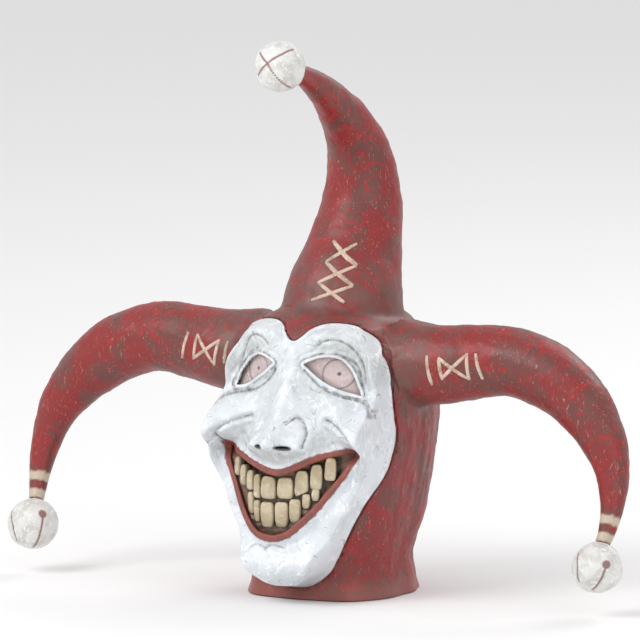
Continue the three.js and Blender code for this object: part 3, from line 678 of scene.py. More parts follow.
def top_horn() -> Horn:
    """Give the top horn from the shares of its height that the solids use."""
    height, root, radius = 268.0, 268.0, 57.0
    rows = [
        (0.0, -0.04, 1.1),
        (0.1, -0.06, 1.04),
        (0.25, -0.135, 0.86),
        (0.43, -0.2, 0.71),
        (0.61, -0.175, 0.57),
        (0.75, -0.07, 0.44),
        (0.86, 0.07, 0.31),
        (0.94, 0.22, 0.21),
        (0.99, 0.37, 0.15),
    ]
    stations = [(0.0, -ahead * height, root + up * height, size * radius) for up, ahead, size in rows]
    return Horn("top", stations, (0.0, -0.45 * height, root + 1.015 * height), (1, 0, 0))


@dataclass
class RedCasting:
    """The cowl and its three horns, cast as one skin with soft fillets between them."""

    head: HeadForm
    face: FaceForm
    horns: list[Horn]
    voxel: float = 2.9
    tuck: float = 4.5
    under: float = 0.7
    face_cover: float = 6.5
    fillet_passes: int = 9
    wall: float = 2.6

    def cowl_solid(self, bm: bmesh.types.BMesh) -> None:
        """Add the cowl's outer form, closed below its foot for the cut later."""
        columns, rows = 96, 60
        made = bmesh.ops.create_grid(bm, x_segments=columns, y_segments=rows, size=1)["verts"]
        for vertex in made:
            turn = (vertex.co.x + 1) * math.pi
            z = self.head.height * (vertex.co.y * 0.54 + 0.46)
            wide, front, back = self.head.section(np.array([max(z, 0.0)]))
            across, along = math.cos(turn), math.sin(turn)
            power = 2 / self.head.squareness if along < 0 else 1.0
            reach = front[0] if along < 0 else back[0]
            vertex.co = (
                wide[0] * math.copysign(abs(across) ** power, across) * MM,
                reach * math.copysign(abs(along) ** power, along) * MM,
                z * MM,
            )
        bmesh.ops.remove_doubles(bm, verts=made, dist=0.05 * MM)
        bmesh.ops.holes_fill(bm, edges=[e for e in bm.edges if e.is_boundary], sides=0)
        bmesh.ops.recalc_face_normals(bm, faces=bm.faces)

    def fused(self) -> bpy.types.Object:
        """Fuse the cowl and horns into one skin by a voxel remesh."""
        bm = bmesh.new()
        self.cowl_solid(bm)
        for horn in self.horns:
            extra = bmesh.new()
            horn.solid(extra)
            bmesh.ops.recalc_face_normals(extra, faces=extra.faces)
            held = bpy.data.meshes.new("horn_form")
            extra.to_mesh(held)
            extra.free()
            bm.from_mesh(held)
            bpy.data.meshes.remove(held)
        form = piece_from(bm, "red_casting")
        remesh = form.modifiers.new("fuse", "REMESH")
        remesh.mode = "VOXEL"
        remesh.voxel_size = self.voxel * MM
        graph = bpy.context.evaluated_depsgraph_get()
        mesh = bpy.data.meshes.new_from_object(form.evaluated_get(graph))
        form.modifiers.clear()
        form.data = mesh
        return form

    def build(self, paint: bpy.types.Material) -> bpy.types.Object:
        """Build the red casting: fuse, soften, fold, cut the face and neck open, and give it a wall."""
        piece = self.fused()
        bm = bmesh.new()
        bm.from_mesh(piece.data)
        joins = [v for v in bm.verts if self.near_join(v.co / MM)]
        for _ in range(self.fillet_passes):
            bmesh.ops.smooth_vert(bm, verts=joins, factor=0.5, use_axis_x=True, use_axis_y=True, use_axis_z=True)
        for _ in range(2):
            bmesh.ops.smooth_vert(bm, verts=bm.verts, factor=0.5, use_axis_x=True, use_axis_y=True, use_axis_z=True)
        everything = [*bm.verts, *bm.edges, *bm.faces]
        bmesh.ops.bisect_plane(bm, geom=everything, plane_co=(0, 0, 0.4 * MM), plane_no=(0, 0, -1), clear_outer=True)
        bm.to_mesh(piece.data)
        bm.free()
        self.cut_face(piece.data)
        self.fold(piece.data)
        put_mask(piece.data, "band", self.bands(coordinates(piece.data)))
        # Painted shade: a brown darkening round the horns' roots, where they join the cowl.
        put_mask(piece.data, "root_shade", self.root_shade(coordinates(piece.data)))
        put_mask(piece.data, "lower", smooth(-coordinates(piece.data)[:, 2], -26, -6) * 0.55)
        piece.data.polygons.foreach_set("use_smooth", [True] * len(piece.data.polygons))
        piece.data.materials.clear()
        piece.data.materials.append(paint)
        wall = piece.modifiers.new("wall", "SOLIDIFY")
        wall.thickness = self.wall * MM
        wall.offset = -1
        return piece

    def near_join(self, place: Vector) -> bool:
        """Say whether a place is close to where a horn leaves the cowl."""
        for horn in self.horns:
            x, y, z, radius = horn.stations[0]
            lean = 1.15 if horn.name == "top" else 1.0
            if (place - Vector((x, y, z))).length < radius * 1.45 * lean:
                return True
        return False

    def cut_face(self, mesh: bpy.types.Mesh) -> None:
        """Open the skin behind the face, a little inside the face's rim, and draw its edge smooth."""
        line = self.face.outline()
        middle = line.mean(axis=0)
        inner = middle + (line - middle) * (1 - self.tuck / np.linalg.norm(line - middle, axis=1)[:, None])
        places = coordinates(mesh)
        hidden = inside(places[:, 0], places[:, 2], inner) & (places[:, 1] < -12)
        bm = bmesh.new()
        bm.from_mesh(mesh)
        bm.verts.ensure_lookup_table()
        gone = [f for f in bm.faces if all(hidden[v.index] for v in f.verts)]
        edge = {v.index for f in gone for v in f.verts if not all(hidden[w.index] for g in v.link_faces for w in g.verts)}
        for i in edge:
            _, nearest = to_line(places[i : i + 1, 0], places[i : i + 1, 2], inner, closed=True)
            bm.verts[i].co.x, bm.verts[i].co.z = nearest[0, 0] * MM, nearest[0, 1] * MM
        bmesh.ops.delete(bm, geom=gone, context="FACES")
        bm.to_mesh(mesh)
        bm.free()

    def under_rim(self, places: np.ndarray) -> np.ndarray:
        """Say how near places are to the face's rim, where the skin keeps to the cowl's plain form."""
        away, _ = to_line(places[:, 0], places[:, 2], self.face.outline(), closed=True)
        wide, _, _ = self.head.section(places[:, 2])
        ahead = smooth(wide - np.abs(places[:, 0]), 0.5, 4)
        return smooth(11 - away, 0, 8) * smooth(-places[:, 1], 10, 20) * ahead

    def fold(self, mesh: bpy.types.Mesh) -> None:
        """Press soft dents, and drape folds down the neck, into the skin."""
        places = coordinates(mesh)
        normals = np.zeros(len(mesh.vertices) * 3)
        mesh.vertices.foreach_get("normal", normals)
        normals = normals.reshape(-1, 3)
        soft = relief(places, 34.0) * 1.3
        long_places = places * np.array([1.0, 1.0, 0.28])
        drape = relief(long_places, 9.0) * 0.9
        fine = relief(places * np.array([1.0, 1.0, 0.6]), 4.0, 2) * 0.3
        cowl = smooth(115 - np.abs(places[:, 0]), 0, 20) * smooth(275 - places[:, 2], 0, 40)
        away = np.minimum.reduce(
            [np.linalg.norm(places - np.array(h.stations[-1][:3]), axis=1) for h in self.horns]
        )
        calm = smooth(away, 20, 70) * smooth(places[:, 2], 2, 16)
        height = (soft + fine) * calm + drape * cowl * calm
        rim = 1.6 * np.sin(np.arctan2(places[:, 1], places[:, 0]) * 11) * smooth(22 - places[:, 2], 0, 18)
        beside = self.under_rim(places)
        moved = places + normals * ((height + rim * 0.5) * (1 - beside))[:, None]
        plain = self.head.front_at(moved[:, 0], moved[:, 2]) - self.under
        covered = inside(moved[:, 0], moved[:, 2], self.face.outline()) & (moved[:, 1] < 0)
        under_face = self.face.surface(moved[:, 0], moved[:, 2]) - self.face_cover
        plain = np.where(covered, np.minimum(plain, under_face), plain)
        moved[:, 1] += (-plain - moved[:, 1]) * np.where(covered, 1.0, beside)
        moved[:, 2] = np.maximum(moved[:, 2], 0.4)
        put_coordinates(mesh, moved)

    def bands(self, places: np.ndarray) -> np.ndarray:
        """Mask the cream bands painted round the side horns' tips."""
        mask = np.zeros(len(places))
        band_half = 4.2
        for horn in self.horns:
            if horn.name == "top":
                continue
            away = np.linalg.norm(places - np.array(horn.ball_centre), axis=1)
            for at in (31.0, 49.0):
                mask = np.maximum(mask, smooth(band_half + 0.8 - np.abs(away - at), 0, 1.2))
        return mask

    def root_shade(self, places: np.ndarray) -> np.ndarray:
        """Mask the painted shade: a brown darkening round each horn's root, where it joins the cowl."""
        mask = np.zeros(len(places))
        for horn in self.horns:
            x, y, z, radius = horn.stations[0]
            away = np.linalg.norm(places - np.array((x * 1.06, y, z)), axis=1)
            mask = np.maximum(mask, 0.75 * np.exp(-(((away - radius) / 13) ** 2)))
        ragged = relief(places, 11.0)
        return np.clip(mask * (0.8 + ragged), 0, 0.85)


@dataclass
class WhiteFace:
    """The face, a modelled shell with its mouth, eyes and nostrils cut through."""

    form: FaceForm
    spokes: int = 400
    rings: int = 108
    wall: float = 2.4
    middle_share: float = 0.5

    def build(self, paint: bpy.types.Material) -> bpy.types.Object:
        """Build the face's shell and its paint masks."""
        form = self.form
        bm = bmesh.new()
        bmesh.ops.create_grid(bm, x_segments=self.spokes, y_segments=self.rings, size=1)
        piece = piece_from(bm, "white_face")
        mesh = piece.data
        grid = coordinates(mesh) * MM
        turn = (grid[:, 0] + 1) / 2
        share = ((grid[:, 1] + 1) / 2) ** 0.82
        rim = self.rim_at(turn)
        middle = np.array([0.0, form.foot + form.height * self.middle_share])
        flat = middle + (rim - middle) * share[:, None]
        x, z = flat[:, 0], flat[:, 1]
        put_coordinates(mesh, np.stack([x, -self.form.surface(x, z), z], axis=-1))
        self.weld(mesh)
        self.open_holes(mesh)
        self.dress(mesh)
        mesh.materials.append(paint)
        wall = piece.modifiers.new("wall", "SOLIDIFY")
        wall.thickness = self.wall * MM
        wall.offset = -1
        return piece

    def rim_at(self, turn: np.ndarray) -> np.ndarray:
        """Give the outline's point at a share of its length."""
        line = self.form.outline()
        line = np.vstack([line, line[:1]])
        steps = np.concatenate([[0], np.cumsum(np.linalg.norm(np.diff(line, axis=0), axis=1))])
        along = np.mod(turn, 1.0) * steps[-1]
        return np.stack([np.interp(along, steps, line[:, i]) for i in (0, 1)], axis=-1)

    @staticmethod
    def weld(mesh: bpy.types.Mesh) -> None:
        """Join the seam and the middle of the mapped grid, and face it outwards."""
        bm = bmesh.new()
        bm.from_mesh(mesh)
        bmesh.ops.remove_doubles(bm, verts=bm.verts, dist=0.02 * MM)
        bm.normal_update()
        if sum(f.normal.y for f in bm.faces) > 0:
            bmesh.ops.reverse_faces(bm, faces=bm.faces)
        bm.to_mesh(mesh)
        bm.free()

    def open_holes(self, mesh: bpy.types.Mesh) -> None:
        """Cut the mouth, eyes and nostrils, with their edges drawn on to the outlines."""
        form = self.form
        lines = [form.mouth(), *(form.eye(s) for s in Side), *(form.nostril(s) for s in Side)]
        places = coordinates(mesh)
        within = np.zeros(len(places), int)
        for number, line in enumerate(lines, start=1):
            within[inside(places[:, 0], places[:, 2], line)] = number
        bm = bmesh.new()
        bm.from_mesh(mesh)
        bm.verts.ensure_lookup_table()
        gone = [f for f in bm.faces if all(within[v.index] for v in f.verts)]
        marked = {v.index for f in gone for v in f.verts}
        edge = [i for i in marked if any(not within[w.index] for f in bm.verts[i].link_faces for w in f.verts)]
        for i in set(edge) | {v.index for v in bm.verts if within[v.index] and v.index not in marked}:
            line = lines[within[i] - 1]
            _, nearest = to_line(places[i : i + 1, 0], places[i : i + 1, 2], line, closed=True)
            bm.verts[i].co.x = nearest[0, 0] * MM
            bm.verts[i].co.z = nearest[0, 1] * MM
        bmesh.ops.delete(bm, geom=gone, context="FACES")
        bm.to_mesh(mesh)
        bm.free()

    def dress(self, mesh: bpy.types.Mesh) -> None:
        """Store the paint masks: lips, drawn lines, black round the nostrils and painted shade in the hollows, and add
        soft relief.
        """
        form = self.form
        places = coordinates(mesh)
        x, z = places[:, 0], places[:, 2]
        lip, _ = to_line(x, z, form.mouth(), closed=True)
        lids = np.minimum(*(to_line(x, z, form.eye(s), closed=True)[0] for s in Side))
        slits = np.minimum(*(to_line(x, z, form.nostril(s), closed=True)[0] for s in Side))
        ragged = relief(places, 5.0, 3)
        put_mask(mesh, "lip", smooth(4.2 + ragged * 1.2 - lip, 0, 1.4) * 0.92)
        ink = np.maximum(form.ink(x, z), 0.8 * np.exp(-(((lids - 2.6) / 0.8) ** 2)))
        put_mask(mesh, "ink", np.clip(ink * (0.9 + ragged * 0.9), 0, 0.9))
        put_mask(mesh, "black", smooth(1.6 - slits, 0, 1.4) * 0.85)
        socket = bump(np.abs(x), z, (form.eye_spacing / 2, form.eye_level + 8), 30, 30)
        side = bump(np.abs(x), z, (44, 165), 18, 14) * 0.6
        under = bump(x, z, (0, 148), 26, 7) * 0.6
        shade = np.clip((socket * 0.9 + side + under) * (0.75 + ragged), 0, 0.8)
        put_mask(mesh, "shade", shade)
        soft = relief(places, 15.0) * 0.7 + relief(places, 4.5, 2) * 0.22
        places[:, 1] += soft * smooth(lip, 2, 8) * smooth(lids, 1, 6)
        put_coordinates(mesh, places)
        mesh.polygons.foreach_set("use_smooth", [True] * len(mesh.polygons))


@dataclass
class Eye:
    """One moulded eye, a dome behind its opening with a drawn iris and a small pupil."""

    form: FaceForm
    side: Side
    iris_at: tuple[float, float] = (45.5, 229.5)
    overlap: float = 5
    iris: float = 14.5
    pupil: float = 1.6

    def build(self, paint: bpy.types.Material) -> bpy.types.Object:
        """Build the dome and its iris and pupil masks."""
        name = f"moulded_eye_{self.side.name.lower()}"
        bm = bmesh.new()
        bmesh.ops.create_grid(bm, x_segments=110, y_segments=90, size=1)
        piece = piece_from(bm, name)
        grid = coordinates(piece.data) * MM
        line = self.form.eye(self.side)
        centre = (line.max(axis=0) + line.min(axis=0)) / 2
        half = (line.max(axis=0) - line.min(axis=0)) / 2 + self.overlap
        x, z = centre[0] + grid[:, 0] * half[0], centre[1] + grid[:, 1] * half[1]
        from_middle = np.hypot(x - self.iris_at[0] * self.side.value, z - self.iris_at[1])
        plain = self.form.base_reach(x, z) - 22.0 * smooth(np.abs(x), 18, 84) * smooth(z, 186, 214)
        away = plain - 3.2 + 2.6 * np.exp(-((from_middle / 15) ** 2))
        put_coordinates(piece.data, np.stack([x, -away, z], axis=-1))
        out = from_middle
        put_mask(piece.data, "ring", 0.7 * np.exp(-(((out - self.iris) / 0.75) ** 2)))
        put_mask(piece.data, "iris", 0.45 * smooth(self.iris - out, 0, 2))
        put_mask(piece.data, "pupil", 0.85 * smooth(self.pupil + 0.8 - out, 0, 1.2))
        lid, _ = to_line(x, z, self.form.eye(self.side), closed=True)
        put_mask(piece.data, "shade", 0.7 * smooth(6 - lid, 0, 6))
        beyond = ~inside(x, z, self.form.eye(self.side)) & (lid > 4)
        trim(piece.data, beyond)
        piece.data.materials.append(paint)
        wall = piece.modifiers.new("wall", "SOLIDIFY")
        wall.thickness = 2 * MM
        wall.offset = -1
        self.face_ahead(piece.data)
        return piece

    @staticmethod
    def face_ahead(mesh: bpy.types.Mesh) -> None:
        """Turn a mesh's faces to look ahead, if they look back."""
        bm = bmesh.new()
        bm.from_mesh(mesh)
        bm.normal_update()
        if sum(f.normal.y for f in bm.faces) > 0:
            bmesh.ops.reverse_faces(bm, faces=bm.faces)
        bm.to_mesh(mesh)
        bm.free()


@dataclass(frozen=True)
class Tooth:
    """One tooth: its two sides across, and the levels of its biting edge and its root."""

    low_x: float
    high_x: float
    edge: float
    root: float
    point: float = 0.0

    @property
    def middle(self) -> float:
        """Give the tooth's middle across."""
        return (self.low_x + self.high_x) / 2

    @property
    def width(self) -> float:
        """Give the tooth's width."""
        return self.high_x - self.low_x


UPPER_TEETH = [
    Tooth(-57, -50, 124, 143),
    Tooth(-49, -41, 115, 136),
    Tooth(-40, -31.4, 111.6, 131.5),
    Tooth(-30.8, -22.8, 104.4, 128.4),
    Tooth(-22, -4.4, 104.6, 127.5),
    Tooth(-3, 14.4, 106.1, 127.9),
    Tooth(15.6, 29.6, 107.9, 135.3, 0.5),
    Tooth(30.6, 42.9, 116.4, 141.8),
    Tooth(43.8, 55.6, 125.6, 148.6),
]
LOWER_TEETH = [
    Tooth(-38, -31, 110, 88),
    Tooth(-30.2, -23.2, 102.4, 80.5),
    Tooth(-22.2, -6.8, 101.6, 75.6),
    Tooth(-5.4, 9.2, 102.7, 76.8),
    Tooth(10, 22.2, 106.5, 81.9),
    Tooth(23, 31.3, 112, 97),
    Tooth(32.2, 40, 117.4, 105),
]


@dataclass
class Mouth:
    """The inside of the mouth: a gum plate, and two rows of separate teeth on it."""

    form: FaceForm
    tooth_thickness: float = 10
    front: float = 124
    curve: float = 26
    squareness: float = 0.42
    gum_back: float = 5.0
    gum_swell: float = 3.2
    gap_shade_spread: float = 1.7

    def reach_at(self, x: np.ndarray) -> np.ndarray:
        """Give the front of the teeth, curved round with the lips."""
        return self.front - self.curve * (x / (self.form.mouth_width / 2)) ** 2

    def build_plate(self, paint: bpy.types.Material) -> bpy.types.Object:
        """Build the gum plate, swollen over the roots of the teeth."""
        form = self.form
        bm = bmesh.new()
        bmesh.ops.create_grid(bm, x_segments=190, y_segments=120, size=1)
        piece = piece_from(bm, "gum_plate")
        grid = coordinates(piece.data) * MM
        x = grid[:, 0] * (form.mouth_width / 2 + 5)
        z = form.mouth_foot + form.mouth_height * 0.5 + grid[:, 1] * (form.mouth_height / 2 + 6)
        reach = self.reach_at(x) - self.gum_back + 0.7 * relief(np.stack([x, x * 0, z], axis=-1), 7.0)
        for tooth in UPPER_TEETH + LOWER_TEETH:
            up = 1 if tooth.root > tooth.edge else -1
            reach += self.gum_swell * bump(x, z, (tooth.middle, tooth.root + up * 2.5), tooth.width * 0.5, 5.5)
        reach = np.minimum(reach, form.reach(x, z) - 4.5)
        put_coordinates(piece.data, np.stack([x, -reach, z], axis=-1))
        # Painted shade: a near-black olive darkening on the plate round each tooth, which also fills the gaps between
        # teeth and the bite.
        dark = np.zeros(len(x))
        for tooth in UPPER_TEETH + LOWER_TEETH:
            out_x = np.maximum(np.abs(x - tooth.middle) - tooth.width / 2, 0)
            out_z = np.maximum(np.abs(z - (tooth.root + tooth.edge) / 2) - abs(tooth.root - tooth.edge) / 2, 0)
            dark = np.maximum(dark, np.exp(-((np.hypot(out_x, out_z) / self.gap_shade_spread) ** 2)))
        put_mask(piece.data, "dark", 0.92 * dark)
        away, _ = to_line(x, z, form.mouth(), closed=True)
        put_mask(piece.data, "corner", 0.75 * smooth(np.abs(x), 40, 62) * smooth(14 - away, 0, 10))
        trim(piece.data, ~inside(x, z, form.mouth()) & (away > 5))
        Eye.face_ahead(piece.data)
        piece.data.materials.append(paint)
        wall = piece.modifiers.new("wall", "SOLIDIFY")
        wall.thickness = 2.5 * MM
        wall.offset = -1
        return piece

    @staticmethod
    def level_at(x: np.ndarray, row: list[Tooth], what: str) -> np.ndarray:
        """Give a level that runs along a row's teeth.

        Args:
            x: Places across.
            row: The teeth, from low x to high.
            what: The field that gives the level.

        Returns:
            The level at each place.
        """
        return np.interp(x, [tooth.middle for tooth in row], [getattr(tooth, what) for tooth in row])

    def build_row(self, name: str, row: list[Tooth], paint: bpy.types.Material) -> bpy.types.Object:
        """Build one row of teeth, each a squarish crown that narrows to its root.

        Args:
            name: The piece's name.
            row: The teeth.
            paint: The teeth's paint.

        Returns:
            The row, as one piece.
        """
        bm = bmesh.new()
        for number, tooth in enumerate(row):
            made = bmesh.ops.create_uvsphere(bm, u_segments=32, v_segments=22, radius=1)["verts"]
            up = 1 if tooth.root > tooth.edge else -1
            front = float(self.reach_at(np.array(tooth.middle)))
            slope = math.atan(2 * self.curve * tooth.middle / (self.form.mouth_width / 2) ** 2)
            lean = math.radians(((number * 37) % 9 - 4) * 0.8)
            turn = Matrix.Rotation(slope, 4, "Z") @ Matrix.Rotation(lean, 4, "Y")
            level = (tooth.root + tooth.edge) / 2
            half_tall = abs(tooth.root - tooth.edge) / 2
            for vertex in made:
                px, py, pz = (math.copysign(abs(c) ** self.squareness, c) for c in vertex.co)
                root = max(0.0, pz * up)
                taper = 1 - 0.16 * root**1.6
                bite = tooth.point * max(0.0, -pz * up)
                tall = pz * half_tall * (1 - bite * 0.5 * (1 + px))
                local = turn @ Vector((px * taper * tooth.width / 2, py * self.tooth_thickness / 2 * (1 - 0.2 * root), tall))
                place = Vector((tooth.middle, -front + self.tooth_thickness / 2, level)) + local
                vertex.co = place * MM
        bmesh.ops.recalc_face_normals(bm, faces=bm.faces)
        piece = piece_from(bm, name)
        places = coordinates(piece.data)
        x, z = places[:, 0], places[:, 2]
        tall = np.abs(z - self.level_at(x, row, "edge"))
        ragged = relief(places, 5.0, 2)
        put_mask(piece.data, "stain", np.clip(smooth(tall, 9, 24) * 0.55 + 0.1 + 0.3 * ragged, 0, 0.75))
        # Painted shade: the teeth go dark olive-brown on their sides and backs, behind the front faces.
        put_mask(piece.data, "edge", 0.75 * smooth(places[:, 1] + self.reach_at(x), 1.8, 5.0))
        places[:, 1] += 0.5 * ragged
        put_coordinates(piece.data, places)
        piece.data.materials.append(paint)
        return piece


@dataclass
class Roll:
    """A soft roll of latex that runs round an opening of the face, such as a lip or a lid."""

    form: FaceForm
    name: str
    line: np.ndarray
    half_wide: float
    half_deep: float
    sunk: float
    corner_share: float = 1.0
    steps: tuple[int, int] = (460, 16)

    def build(self, paint: bpy.types.Material) -> bpy.types.Object:
        """Sweep the roll along its line, on the face's surface.

        Args:
            paint: The roll's paint.

        Returns:
            The closed roll.
        """
        bm = bmesh.new()
        bmesh.ops.create_grid(bm, x_segments=self.steps[0], y_segments=self.steps[1], size=1)
        piece = piece_from(bm, self.name)
        grid = coordinates(piece.data) * MM
        along, turn = (grid[:, 0] + 1) / 2, (grid[:, 1] + 1) * math.pi
        point, aside = self.trace(along)
        half = (point.max(axis=0) - point.min(axis=0))[0] / 2
        middle = (point.max(axis=0) + point.min(axis=0))[0] / 2
        ease = 1 - (1 - self.corner_share) * np.abs((point[:, 0] - middle) / half) ** 3
        flat = point + aside * (self.half_wide * ease * np.cos(turn))[:, None]
        reach = self.form.reach(point[:, 0], point[:, 1]) * 0.5 + self.form.reach(flat[:, 0], flat[:, 1]) * 0.5
        uneven = 0.35 * relief(np.stack([flat[:, 0], flat[:, 0] * 0, flat[:, 1]], axis=-1), 6.0, 2)
        lift = self.half_deep * ease * np.sin(turn) - self.sunk + uneven
        put_coordinates(piece.data, np.stack([flat[:, 0], -(reach + lift), flat[:, 1]], axis=-1))
        # Painted shade: the roll's underside, where it sinks into the face, is darkened.
        put_mask(piece.data, "fold", smooth(-np.sin(turn), -0.45, 0.1) * 0.8)
        bm = bmesh.new()
        bm.from_mesh(piece.data)
        bmesh.ops.remove_doubles(bm, verts=bm.verts, dist=0.005 * MM)
        bmesh.ops.recalc_face_normals(bm, faces=bm.faces)
        bm.to_mesh(piece.data)
        bm.free()
        piece.data.materials.append(paint)
        return piece

    def trace(self, along: np.ndarray) -> tuple[np.ndarray, np.ndarray]:
        """Give the line's places and the ways across it, at shares of its length.

        Args:
            along: Shares of the line's length, from 0 to 1.

        Returns:
            The places, and the ways across.
        """
        line = np.vstack([self.line, self.line[:1]])
        steps = np.concatenate([[0], np.cumsum(np.linalg.norm(np.diff(line, axis=0), axis=1))])
        spans = []
        for shift in (-0.004, 0.0, 0.004):
            at = np.mod(along + shift, 1.0) * steps[-1]
            spans.append(np.stack([np.interp(at, steps, line[:, i]) for i in (0, 1)], axis=-1))
        before, point, after = spans
        way = after - before
        way /= np.maximum(np.linalg.norm(way, axis=1), 1e-9)[:, None]
        return (before + point * 2 + after) / 4, np.stack([-way[:, 1], way[:, 0]], axis=-1)


# The slits drawn on each ball, in millimetres right and up of its middle as the camera sees it.
BALL_SLITS: dict[str, list[Outline]] = {
    "top": [[(-13, 3), (2, 12), (13, 17)], [(-13, 3), (10, -21)], [(-13, 3), (-20, 14)], [(-13, 3), (-22, -9)]],
    "right": [[(10, 10), (8, -8), (0, -24)], [(-21, 13), (-20, -2), (-16, -17)]],
    "left": [[(9, 3), (4, -11), (-5, -22)], [(-19, 14), (-20, 0), (-18, -14)]],
}
BALL_HOLES: dict[str, tuple[float, float]] = {"right": (10, 10), "left": (9, 3)}


@dataclass
class Ball:
    """A painted ball at a horn's tip, marked as a bell: a slit, and a round hole or a cross."""

    horn: Horn
    radius: float = 25.4
    line: float = 1.1
    hole: float = 4.4

    def seen(self, place: tuple[float, float]) -> np.ndarray:
        """Give the way from the ball's middle to a place that the camera sees on it."""
        right, up, back = view_axes()
        ahead = math.sqrt(max(self.radius**2 - place[0] ** 2 - place[1] ** 2, 0))
        return np.array((right * place[0] + up * place[1] + back * ahead).normalized())

    def marks(self, ways: np.ndarray) -> np.ndarray:
        """Mask the drawn slits and holes, over directions from the ball's middle."""
        away = np.full(len(ways), self.radius * math.pi)
        for slit in BALL_SLITS[self.horn.name]:
            ends = [self.seen(place) for place in slit]
            for a, b in zip(ends, ends[1:]):
                for share in np.linspace(0, 1, 16):
                    spot = a * (1 - share) + b * share
                    spot /= np.linalg.norm(spot)
                    away = np.minimum(away, np.arccos(np.clip(ways @ spot, -1, 1)) * self.radius)
        drawn = smooth(self.line + 0.5 - away, 0, 0.9)
        if self.horn.name in BALL_HOLES:
            spot = self.seen(BALL_HOLES[self.horn.name])
            away = np.arccos(np.clip(ways @ spot, -1, 1)) * self.radius
            drawn = np.maximum(drawn, smooth(self.hole + 0.5 - away, 0, 1.0))
        return drawn

    def build(self, paint: bpy.types.Material) -> bpy.types.Object:
        """Build the ball, slightly dented, with shallow grooves under the paint."""
        bm = bmesh.new()
        bmesh.ops.create_icosphere(bm, subdivisions=6, radius=self.radius * MM)
        piece = piece_from(bm, f"bell_ball_{self.horn.name}")
        places = coordinates(piece.data)
        ways = places / np.linalg.norm(places, axis=1)[:, None]
        marks = self.marks(ways)
        dents = relief(places + np.array(self.horn.ball_centre), 13.0) * 0.7 + relief(places, 3.6, 2) * 0.2
        places = ways * (self.radius + np.minimum(dents, 0.6) - 0.7 * marks)[:, None] + np.array(self.horn.ball_centre)
        put_coordinates(piece.data, places)
        put_mask(piece.data, "mark", marks * 0.85)
        piece.data.materials.append(paint)
        return piece


@dataclass
class Lacing:
    """Painted relief marks that look like crossed laces, laid on the front of a horn."""

    name: str
    strokes: list[tuple[float, float, float, float]]
    half_wide: float = 1.9
    rise: float = 1.1

    def build(self, skin: BVHTree, paint: bpy.types.Material) -> bpy.types.Object:
        """Lay each stroke on the skin by a drop along +Y on to it.

        Args:
            skin: The casting's outer skin, in metres.
            paint: The cream paint.

        Returns:
            The fused marks.
        """
        bm = bmesh.new()
        for x0, z0, x1, z1 in self.strokes:
            previous: list[bmesh.types.BMVert] = []
            steps = 14
            way = Vector((x1 - x0, 0, z1 - z0)).normalized()
            side = Vector((-way.z, 0, way.x))
            for i in range(steps + 1):
                share = i / steps
                x, z = x0 + (x1 - x0) * share, z0 + (z1 - z0) * share
                ease = 1 - 0.35 * abs(2 * share - 1) ** 4
                ring = []
                for turn in np.linspace(0, 2 * math.pi, 10, endpoint=False):
                    across = side * math.cos(turn) * self.half_wide * ease
                    start = Vector((x + across.x, -200.0, z + across.z)) * MM
                    hit, _, _, _ = skin.ray_cast(start, Vector((0, 1, 0)))
                    depth = (hit.y / MM) if hit else 0.0
                    lift = -self.rise * ease * max(0.0, math.sin(turn)) + 0.8 * max(0.0, -math.sin(turn))
                    ring.append(bm.verts.new((start.x, (depth + lift) * MM, start.z)))
                if previous:
                    for k, vertex in enumerate(ring):
                        after = (k + 1) % len(ring)
                        bm.faces.new((previous[k], previous[after], ring[after], vertex))
                else:
                    bm.faces.new(ring)
                previous = ring
            bm.faces.new(previous[::-1])
        bmesh.ops.recalc_face_normals(bm, faces=bm.faces)
        piece = piece_from(bm, self.name)
        piece.data.materials.append(paint)
        return piece


def laces() -> list[Lacing]:
    """Give the marks on the three horns: crossed laces on top, and a barred cross on each side."""
    top = [
        (-5, 296, 34, 311),
        (29, 295, -1, 314),
        (34, 311, 2, 333),
        (-1, 313, 32, 330),
        (32, 330, 1, 352),
        (2, 333, 25, 350),
    ]
    left = [
        (125, 249, 131, 219),
        (138, 248, 142, 225),
        (138, 247, 168, 226),
        (141, 226, 166, 252),
        (166, 253, 168, 226),
        (175, 253, 182, 227),
    ]
    right = [
        (-147, 254, -154, 227),
        (-135, 253, -139, 227),
        (-135, 253, -113, 224),
        (-139, 228, -108, 249),
        (-108, 250, -113, 223),
        (-98, 249, -101, 226),
    ]
    return [Lacing("lacing_top", top), Lacing("lacing_left", left), Lacing("lacing_right", right)]


